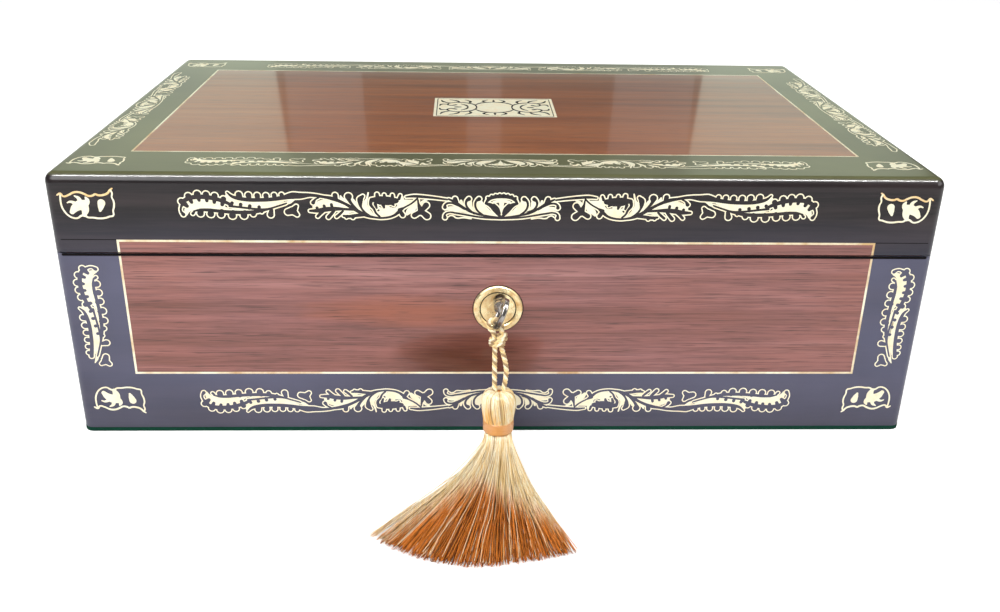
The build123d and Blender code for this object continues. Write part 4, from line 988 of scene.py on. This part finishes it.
class SLOPE_OT_stage(bpy.types.Operator):
    """Floor, lamps, sky and the photograph's camera"""

    bl_idname = "slope.stage"
    bl_label = "Stage and camera"

    AIM = Vector((0.0, -0.03, 0.05))
    FLOOR_GLOW = 0.42
    LENS = 37.278
    CAMERA_PLACE = (-0.01526, -0.50421, 0.23512)
    CAMERA_TURNS = ((-2.26, "Z"), (-24.25, "X"), (-1.06, "Y"), (90.0, "X"))
    # Place, size and share of the window's power
    WINDOWS = (
        ("left_window", (-0.44, 0.95, 0.46), (0.36, 0.34), 1.0),
        ("left_curtain", (-0.205, 0.95, 0.46), (0.11, 0.34), 0.09),
        ("middle_curtain", (0.015, 0.95, 0.46), (0.05, 0.34), 0.03),
        ("right_curtain", (0.25, 0.95, 0.46), (0.115, 0.34), 0.09),
        ("right_window", (0.48, 0.95, 0.46), (0.34, 0.34), 1.0),
        ("low_window", (0.0, 0.95, 0.19), (1.4, 0.20), 3.0),
    )

    def execute(self, context):
        stage = context.scene.slope.stage
        bm = bmesh.new()
        bmesh.ops.create_grid(bm, x_segments=2, y_segments=2, size=4.0)
        floor = linked("floor", mesh_from("floor", bm))
        floor.data.materials.append(self.floor_material(stage))
        self.add_lamp("key_lamp", (-0.55, -0.80, 0.75), (0.9, 0.6), stage.key_power)
        self.add_lamp("fill_lamp", (0.95, -0.45, 0.60), (0.7, 0.5), stage.fill_power)
        strip = self.add_lamp("strip_lamp", (0.0, -0.42, 1.15), (1.6, 0.03), stage.strip_power)
        strip.visible_diffuse = False
        for name, place, size, share in self.WINDOWS:
            lamp = self.add_lamp(name, place, size, share * stage.window_power)
            if "window" in name:
                lamp.data.color = stage.window_tint
        self.make_sky(context, stage)
        self.make_camera(context)
        context.scene.view_settings.view_transform = "Standard"
        return {"FINISHED"}

    def add_lamp(self, name, place, size, power):
        light = bpy.data.lights.new(name, "AREA")
        light.shape = "RECTANGLE"
        light.size, light.size_y = size
        light.energy = power
        lamp = linked(name, light)
        lamp.location = place
        lamp.rotation_euler = (self.AIM - Vector(place)).to_track_quat("-Z", "Y").to_euler()
        return lamp

    def floor_material(self, stage):
        nodes = new_material("pale_floor")
        speck = nodes.noise(60.0, 2.0, 0.5)
        paint = nodes.mix(speck, stage.floor, tuple(share * 0.985 for share in stage.floor))
        seen = nodes.add("ShaderNodeLightPath").outputs["Is Camera Ray"]
        glow = {"Emission Color": (1.0, 1.0, 1.0), "Emission Strength": nodes.times(seen, self.FLOOR_GLOW)}
        return nodes.surface(paint, 0.9, others={"Specular IOR Level": 0.1, **glow})

    def make_sky(self, context, stage):
        """White where it is looked at, and weaker as light and in reflections."""
        world = bpy.data.worlds.new("pale_sky")
        context.scene.world = world
        nodes = Nodes(world)
        nodes.tree.nodes.clear()
        rays = nodes.add("ShaderNodeLightPath").outputs
        strength = nodes.larger(
            rays["Is Camera Ray"],
            rays["Is Transmission Ray"],
            nodes.times(rays["Is Diffuse Ray"], stage.sky),
            nodes.times(rays["Is Glossy Ray"], stage.reflected_sky),
        )
        background = nodes.add("ShaderNodeBackground", {"Color": (1.0, 1.0, 1.0), "Strength": strength})
        nodes.add("ShaderNodeOutputWorld", {"Surface": background.outputs["Background"]})

    def make_camera(self, context):
        camera = linked("camera", bpy.data.cameras.new("camera"))
        camera.data.sensor_fit = "HORIZONTAL"
        camera.data.sensor_width = 36.0
        camera.data.lens = self.LENS
        camera.data.clip_start = 0.01
        matrix = Matrix.Translation(self.CAMERA_PLACE)
        for angle, axis in self.CAMERA_TURNS:
            matrix = matrix @ Matrix.Rotation(math.radians(angle), 4, axis)
        camera.matrix_world = matrix
        context.scene.camera = camera


class SLOPE_OT_finishes(bpy.types.Operator):
    """Timber, metal, leather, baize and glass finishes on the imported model"""

    bl_idname = "slope.finishes"
    bl_label = "Finishes of the packed model"

    def execute(self, context):
        slope = context.scene.slope
        timber, metal, soft = slope.timber, slope.metal, slope.soft
        front = (timber.rosewood_dark, timber.rosewood_brown, timber.rosewood_red, timber.rosewood_light)
        top = (timber.top_dark, timber.top_brown, timber.top_red, timber.top_light)
        # The key's steel is painted in long bright and dark patches, as painted reflections
        steel = (metal.steel_glint, metal.steel_dark, 1.0, 0.14, 0.9, (160.0, 60.0, 60.0))
        brass = (metal.fittings, metal.fittings_aged, 0.75, 0.20, 0.8)
        finishes = {
            "coromandel": coromandel_material("coromandel_case", timber, CASE_REFLECTION),
            "rosewood": rosewood_material("rosewood_front", timber, front, (5.0, 300.0, 260.0), 0.25, True),
            "mahogany": mahogany_material("mahogany", timber),
            "inlay_brass": metal_material("pale_brass", metal.inlay, metal.inlay_aged, 0.30, 0.34, 0.2),
            "fittings_brass": metal_material("fittings_brass", *brass),
            "screw_steel": metal_material("screw_steel", metal.steel, metal.steel_dark, 0.5, 0.32),
            "key_steel": metal_material("key_steel", *steel),
            "writing_leather": leather_material("case_leather", soft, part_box("case_leather")),
            "baize": baize_material("green_baize", soft),
            "ink_glass": glass_material("ink_glass"),
            "silk": silk_material("silk_plain", soft),
        }
        for part in frame["record"]["subparts"]:
            give(finishes[part["material_slot"]], part["node"])
        lines = metal_material("stringing_brass", metal.inlay, metal.line_aged, 0.85, 0.34, 0.3, 50.0)
        give(lines, "case_stringing", "lid_front_stringing", "top_stringing")
        give(rosewood_material("rosewood_top", timber, top, (4.0, 90.0, 90.0), 0.3), "top_panel")
        give(leather_material("lid_leather", soft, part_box("lid_leather")), "lid_leather")
        lid = coromandel_material("coromandel_lid", timber, LID_REFLECTION)
        give(lid, "lid_top", "lid_front", "lid_back", "lid_left", "lid_right")
        coromandel_material("lid_leaves", timber, LID_REFLECTION, inside=False)
        coromandel_material("case_leaves", timber, CASE_REFLECTION, inside=False)
        metal_material("aged_brass", metal.inlay_aged, metal.inlay, 0.5, 0.34, 0.35)
        wax_and_shadow_material("wax_and_shadow_lines", timber)
        return {"FINISHED"}


class SLOPE_OT_front_inlay(bpy.types.Operator):
    """Brass friezes, ferns and corner leaves on the front, its dark joints, and painted shadow lines along
    the seam and round the escutcheon
    """

    bl_idname = "slope.front_inlay"
    bl_label = "Front inlay"

    def execute(self, context):
        inlay = context.scene.slope.inlay
        lid, case = [on_front(LID_FRIEZE_FOOT)], [on_front(CASE_FRIEZE_FOOT)]
        frieze = frieze_drawing(FERN_DARK, FERN_BRASS)
        lay_inlay(inlay, "lid_front_frieze", frieze, lid, "lid")
        lay_inlay(inlay, "case_front_frieze", frieze.upside_down(), case, "case")
        lay_inlay(inlay, "front_ferns", standing_fern_drawing(), [on_front(0.0)], "case")
        corners = Drawing([], CARTOUCHE_LINE + CARTOUCHE_LEAF).with_mirror()
        edges = Drawing([], CARTOUCHE_EDGE).with_mirror()
        lay_inlay(inlay, "lid_front_corners", corners, lid, "lid")
        lay_inlay(inlay, "lid_front_corner_edges", edges, lid, "lid", "aged_brass")
        size = CASE_CORNER_SIZE
        narrow = corners.joined(edges).upside_down().changed(lambda x, y, half: (x * size, y, half * size))
        lay_inlay(inlay, "case_front_corners", narrow, [on_front(CASE_CORNER_FOOT)], "case")
        half = inlay.joint_width / MM / 2
        joint = [[(JOINT_START, 0.0, half), (JOINT_END, 0.0, half)]]
        lay_line(inlay, "front_joints", joint + mirrored(joint), on_front(PANEL_TOP), "lid")
        # Painted shadow along the seam, under the lid's edge
        seam = [[(-SEAM_HALF, 0.0, SEAM_SHADE), (SEAM_HALF, 0.0, SEAM_SHADE)]]
        lay_line(inlay, "seam_shadow_line", seam, on_front(SEAM_TOP - SEAM_SHADE), "case")
        self.ring_escutcheon(inlay)
        return {"FINISHED"}

    def ring_escutcheon(self, inlay):
        """Painted shadow lines round the escutcheon's ring and round its plate."""
        outer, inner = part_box("escutcheon_ring"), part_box("escutcheon_plate")
        middle = (outer[0] + outer[1]) / 2
        ring_radius = (outer[1].x - outer[0].x) / 2 / MM
        steps = 24
        # Radius, face and half width
        rings = ((ring_radius + 0.12, FRONT_Y, 0.22), (7.35, inner[0].y, 0.2))
        for index, (radius, face, half) in enumerate(rings):
            turns = [2 * math.pi * step / steps for step in range(steps + 1)]
            circle = [(radius * math.sin(turn), radius * math.cos(turn), half) for turn in turns]
            place = Matrix.Translation((middle.x, face, middle.z)) @ TO_FRONT
            lay_line(inlay, f"escutcheon_line_{index + 1}", [circle], place, "case")


class SLOPE_OT_baize_edge(bpy.types.Operator):
    """Edge of the baize, turned up round the foot of the case"""

    bl_idname = "slope.baize_edge"
    bl_label = "Baize edge"

    def execute(self, context):
        bm = bmesh.new()
        half_x, half_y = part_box("case_right")[1].x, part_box("case_back")[1].y
        rings = []
        for grow, height in BAIZE_SECTION:
            radius = (WALL_CORNER + grow) * MM
            corners = self.rounded_corners(half_x + grow * MM, half_y + grow * MM, radius)
            rings.append([bm.verts.new((x, y, height * MM)) for x, y in corners])
        for first, second in zip(rings, rings[1:] + rings[:1]):
            for index in range(len(first)):
                after = (index + 1) % len(first)
                bm.faces.new((first[index], first[after], second[after], second[index]))
        mesh = mesh_from("baize_edge", bm)
        finished("baize_edge", mesh, bpy.data.materials["green_baize"], "case")
        return {"FINISHED"}

    def rounded_corners(self, half_x, half_y, radius):
        points = []
        for quarter, (side_x, side_y) in enumerate(((1, 1), (-1, 1), (-1, -1), (1, -1))):
            for step in range(5):
                turn = math.pi / 2 * (quarter + step / 4)
                x = side_x * (half_x - radius) + radius * math.cos(turn)
                y = side_y * (half_y - radius) + radius * math.sin(turn)
                points.append((x, y))
        return points


class SLOPE_OT_top_inlay(bpy.types.Operator):
    """Brass friezes and corner leaves on the lid's top, and the plaque's engraving"""

    bl_idname = "slope.top_inlay"
    bl_label = "Top inlay and plaque"

    def execute(self, context):
        inlay = context.scene.slope.inlay
        long_sides = [on_top(0.0, -FRIEZE_FOOT_Y, 180.0), on_top(0.0, FRIEZE_FOOT_Y)]
        ends = [on_top(-FRIEZE_FOOT_X, 0.0, 90.0), on_top(FRIEZE_FOOT_X, 0.0, -90.0)]
        corners = Drawing([], CARTOUCHE_LINE + CARTOUCHE_EDGE + CARTOUCHE_LEAF).with_mirror()
        lay_inlay(inlay, "top_long_friezes", frieze_drawing(FERN_DARK, FERN_BRASS), long_sides, "lid")
        lay_inlay(inlay, "top_short_friezes", short_frieze_drawing(), ends, "lid")
        lay_inlay(inlay, "top_corners", corners, long_sides, "lid")
        cuts = PLAQUE_CUTS + mirrored(PLAQUE_CUTS)
        cuts = cuts + changed(cuts, lambda x, y, half: (x, -y, half))
        lay_line(inlay, "plaque_engraving", cuts, on_top(0.0, 0.0), "lid")
        return {"FINISHED"}


class SLOPE_OT_tassel(bpy.types.Operator):
    """Laid cord, hitch, head, band and skirt of the silk tassel"""

    bl_idname = "slope.tassel"
    bl_label = "Cord and tassel"

    # Radii and heights in millimetres
    HEAD = (
        (1.0, 29.0), (3.0, 29.35), (5.3, 28.6), (6.55, 26.6), (6.75, 23.6), (6.45, 20.0), (6.0, 17.2),
        (5.9, 16.2),
    )
    BAND = (
        (5.9, 16.45), (6.3, 16.3), (6.38, 15.2), (6.30, 14.6), (6.42, 13.8), (6.32, 13.0), (6.38, 12.2),
        (6.25, 11.3), (5.7, 11.1),
    )
    # Along a strand of the skirt: share of its length, of its spread, least height and rise to the top layer
    FALL = (
        (0.12, 0.06, 2.2, 6.0), (0.30, 0.20, 1.2, 5.8), (0.48, 0.38, 0.8, 5.0), (0.66, 0.60, 0.6, 4.2),
        (0.84, 0.82, 0.5, 3.2),
    )
    # Roots of the strands: widest radius, share of it at the middle layer, widest angle and height
    ROOT_RADIUS, ROOT_INNER, ROOT_ANGLE, ROOT_HEIGHT = 5.5, 0.35, 1.35, 11.6
    NECK_OUT, NECK_HEIGHT = 0.6, 9.4
    TIP_HEIGHT, TIP_RISE = 0.45, 2.5
    # Share of the strands that end early, and their least length
    SHORT_SHARE, SHORT_LENGTH = 0.3, 0.86
    # The skirt's end is an arc through these three places
    FAN_LEFT, FAN_MIDDLE, FAN_RIGHT = (-50.0, -191.5), (-12.0, -209.0), (27.0, -201.5)
    FAN_BEND = 1.8
    FAN_CENTRE, FAN_HALF = -11.5, 38.0
    # Silk of one colour all over
    ALL_TURNED = ("Y", 0.0, -0.001)

    def execute(self, context):
        slope = context.scene.slope
        self.sizes, self.soft = slope.tassel, slope.soft
        self.silk = silk_material("silk_cord", slope.soft)
        cord = self.make_cord()
        self.make_hitch()
        head = self.make_head()
        band = self.make_band()
        self.make_skirt()
        return {"FINISHED"}

    def make_cord(self):
        self.line = spline_points("cord_route", [on_cord(*place) for place in CORD_ROUTE])
        mesh = rope_mesh("key_cord", self.line, self.sizes.cord_diameter, self.sizes.cord_pitch, 0.35 * MM)
        cord = finished("key_cord", mesh, self.silk, "tassel_loop")
        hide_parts("tassel_cord")
        return cord

    def make_hitch(self):
        """Turns of the same cord round both its legs, just under the key's bow."""
        middle, half_width, half_depth = -1.0, 2.9, 2.1
        turns, steps, first_angle, squareness = 2.2, 24, 0.6, 0.8
        foot, rise, tilt = 49.7, 1.6, 0.75
        diameter, pitch = 2.0 * MM, 5.0 * MM
        line = []
        for step in range(int(turns * steps) + 1):
            angle = 2 * math.pi * step / steps + first_angle
            across = math.copysign(abs(math.cos(angle)) ** squareness, math.cos(angle)) * half_width
            up = foot + rise * step / steps + tilt * math.cos(angle)
            line.append(on_cord(middle + across, up, math.sin(angle) * half_depth))
        mesh = rope_mesh("cord_hitch", line, diameter, pitch, 0.25 * MM)
        hitch = finished("cord_hitch", mesh, self.silk, "tassel_loop")
        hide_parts("tassel_hitch")

    def make_head(self):
        """Silk strands drawn down over a dark core."""
        randomly = random.Random(7)
        strand_radius, twist = 0.37 * MM, 0.05
        lines = []
        strands = self.sizes.head_strands
        for strand in range(strands):
            angle = 2 * math.pi * (strand + randomly.uniform(-0.25, 0.25)) / strands
            swell = 1.0 + randomly.uniform(-0.025, 0.035)
            points = []
            for index, (radius, z) in enumerate(self.HEAD):
                turn = angle + twist * index
                x = TASSEL_X + radius * swell * math.cos(turn)
                y = CORD_FOOT[0] + radius * swell * math.sin(turn)
                points.append((x * MM, y * MM, z * MM))
            lines.append(spline_points("head_strand", points, 3))
        mesh = tube_mesh("tassel_head_strands", lines, strand_radius, 6)
        shade_plies(mesh, [randomly.uniform(0.0, 0.95) for _ in lines])
        # Painted shade: the head turns golden low down, above the band
        turns = ("Z", 0.0385, 0.0325)
        silk = silk_material("silk_head", self.soft, turns, (1400.0, 1400.0, 200.0), self.soft.silk_head)
        head = finished("tassel_head_strands", mesh, silk, "tassel")
        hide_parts("tassel_head")
        inside = [(max(0.0, r - 0.35), z - 0.15) for r, z in self.HEAD]
        dark = silk_material("silk_core", self.soft, self.ALL_TURNED)
        finished("tassel_head_core", self.spun("tassel_head_core", inside, 48), dark, "tassel")
        return head

    def spun(self, name, profile, steps):
        """A closed round form from radii and heights."""
        bm = bmesh.new()
        rows = [(0.0, profile[0][1]), *profile, (0.0, profile[-1][1])]
        verts = [bm.verts.new((r * MM, 0.0, z * MM)) for r, z in rows]
        edges = [bm.edges.new(pair) for pair in zip(verts, verts[1:])]
        round_z = {"axis": (0, 0, 1), "cent": (0, 0, 0), "angle": 2 * math.pi, "steps": steps}
        bmesh.ops.spin(bm, geom=verts + edges, use_merge=True, **round_z)
        bmesh.ops.remove_doubles(bm, verts=bm.verts, dist=1e-6)
        bmesh.ops.translate(bm, verts=bm.verts, vec=(TASSEL_X * MM, CORD_FOOT[0] * MM, 0.0))
        return mesh_from(name, bm, smooth=True)

    def make_band(self):
        along, tip = (90.0, 90.0, 2600.0), self.soft.silk_band
        satin = silk_material("silk_band", self.soft, self.ALL_TURNED, along, tip, 1.0)
        mesh = self.spun("tassel_satin_band", self.BAND, 64)
        band = finished("tassel_satin_band", mesh, satin, "tassel")
        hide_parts("tassel_band")
        return band

    def make_skirt(self):
        """Fine wavy strands that fall to the table and fan out over it."""
        randomly = random.Random(11)
        strands = self.sizes.skirt_strands
        lines = []
        for strand in range(strands):
            side = randomly.uniform(-1.0, 1.0)
            layer = (strand + 0.5) / strands
            facing = 1.0 if layer > 0.5 else -1.0
            root_angle = side * self.ROOT_ANGLE
            spread = self.ROOT_INNER + (1.0 - self.ROOT_INNER) * abs(2 * layer - 1)
            radius = self.ROOT_RADIUS * spread
            root_x = TASSEL_X + radius * math.sin(root_angle)
            root_y = CORD_FOOT[0] - facing * radius * math.cos(root_angle)
            root = Vector((root_x, root_y, self.ROOT_HEIGHT))
            across = max(-1.0, min(1.0, side * 0.96 + randomly.gauss(0.0, 0.05)))
            tip_x = self.FAN_CENTRE + self.FAN_HALF * across
            least = self.SHORT_LENGTH if randomly.random() < self.SHORT_SHARE else 0.96
            reach = randomly.uniform(least, 1.0)
            tip_y = root.y + (self.fan_edge(tip_x) - root.y) * reach
            tip = Vector((root.x + (tip_x - root.x) * reach, tip_y, self.TIP_HEIGHT + layer * self.TIP_RISE))
            neck = Vector((root.x * 1.02 + 0.01, root.y - self.NECK_OUT * (1 + facing), self.NECK_HEIGHT))
            line = [root, neck]
            sway = randomly.uniform(0.4, 1.8)
            phase = randomly.uniform(0.0, 6.28)
            for share, drift, low, slope in self.FALL:
                place = root.lerp(tip, share)
                place.x = root.x + (tip.x - root.x) * drift + sway * share * math.sin(phase + 9.0 * share)
                place.z = low + layer * slope
                line.append(place)
            lines.append(spline_points("strand", [p * MM for p in line + [tip]], 2))
        mesh = tube_mesh("tassel_skirt_strands", lines, self.sizes.strand_width / 2, 4)
        shade_plies(mesh, [randomly.uniform(0.0, 1.0) for _ in lines])
        # Painted shade: the skirt turns orange brown towards its ends
        turns = ("Y", -0.146, -0.160)
        fringe = silk_material("silk_skirt", self.soft, turns, (2200.0, 60.0, 500.0))
        skirt = finished("tassel_skirt_strands", mesh, fringe, "tassel")
        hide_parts("tassel_skirt")

    def fan_edge(self, x):
        """How far forward the skirt reaches there."""
        middle = self.FAN_MIDDLE
        side = self.FAN_LEFT if x < middle[0] else self.FAN_RIGHT
        share = (x - middle[0]) / (side[0] - middle[0])
        return middle[1] + (side[1] - middle[1]) * share ** self.FAN_BEND


class SLOPE_PT_panel(bpy.types.Panel):
    bl_idname = "SLOPE_PT_panel"
    bl_label = "Writing slope"
    bl_space_type = "VIEW_3D"
    bl_region_type = "UI"
    bl_category = "Writing slope"

    def draw(self, context):
        slope = context.scene.slope
        for operator in OPERATORS:
            self.layout.operator(operator.bl_idname)
        for group in (slope.timber, slope.metal, slope.soft, slope.inlay, slope.tassel, slope.stage):
            box = self.layout.box()
            for name in group.bl_rna.properties.keys():
                if name not in ("name", "rna_type"):
                    box.prop(group, name)


OPERATORS = (
    SLOPE_OT_stage,
    SLOPE_OT_finishes,
    SLOPE_OT_tassel,
    SLOPE_OT_front_inlay,
    SLOPE_OT_baize_edge,
    SLOPE_OT_top_inlay,
)
GROUPS = (TimberColours, MetalColours, SoftColours, InlaySizes, TasselSizes, StageSettings, SlopeSettings)


def register():
    for cls in (*GROUPS, *OPERATORS, SLOPE_PT_panel):
        bpy.utils.register_class(cls)
    bpy.types.Scene.slope = bpy.props.PointerProperty(type=SlopeSettings, name="Writing slope")


def unregister():
    del bpy.types.Scene.slope
    for cls in (SLOPE_PT_panel, *reversed(OPERATORS), *reversed(GROUPS)):
        bpy.utils.unregister_class(cls)


def main():
    register()
    for operator in OPERATORS:
        group, name = operator.bl_idname.split(".")
        getattr(getattr(bpy.ops, group), name)()


if __name__ == "__main__":
    main()
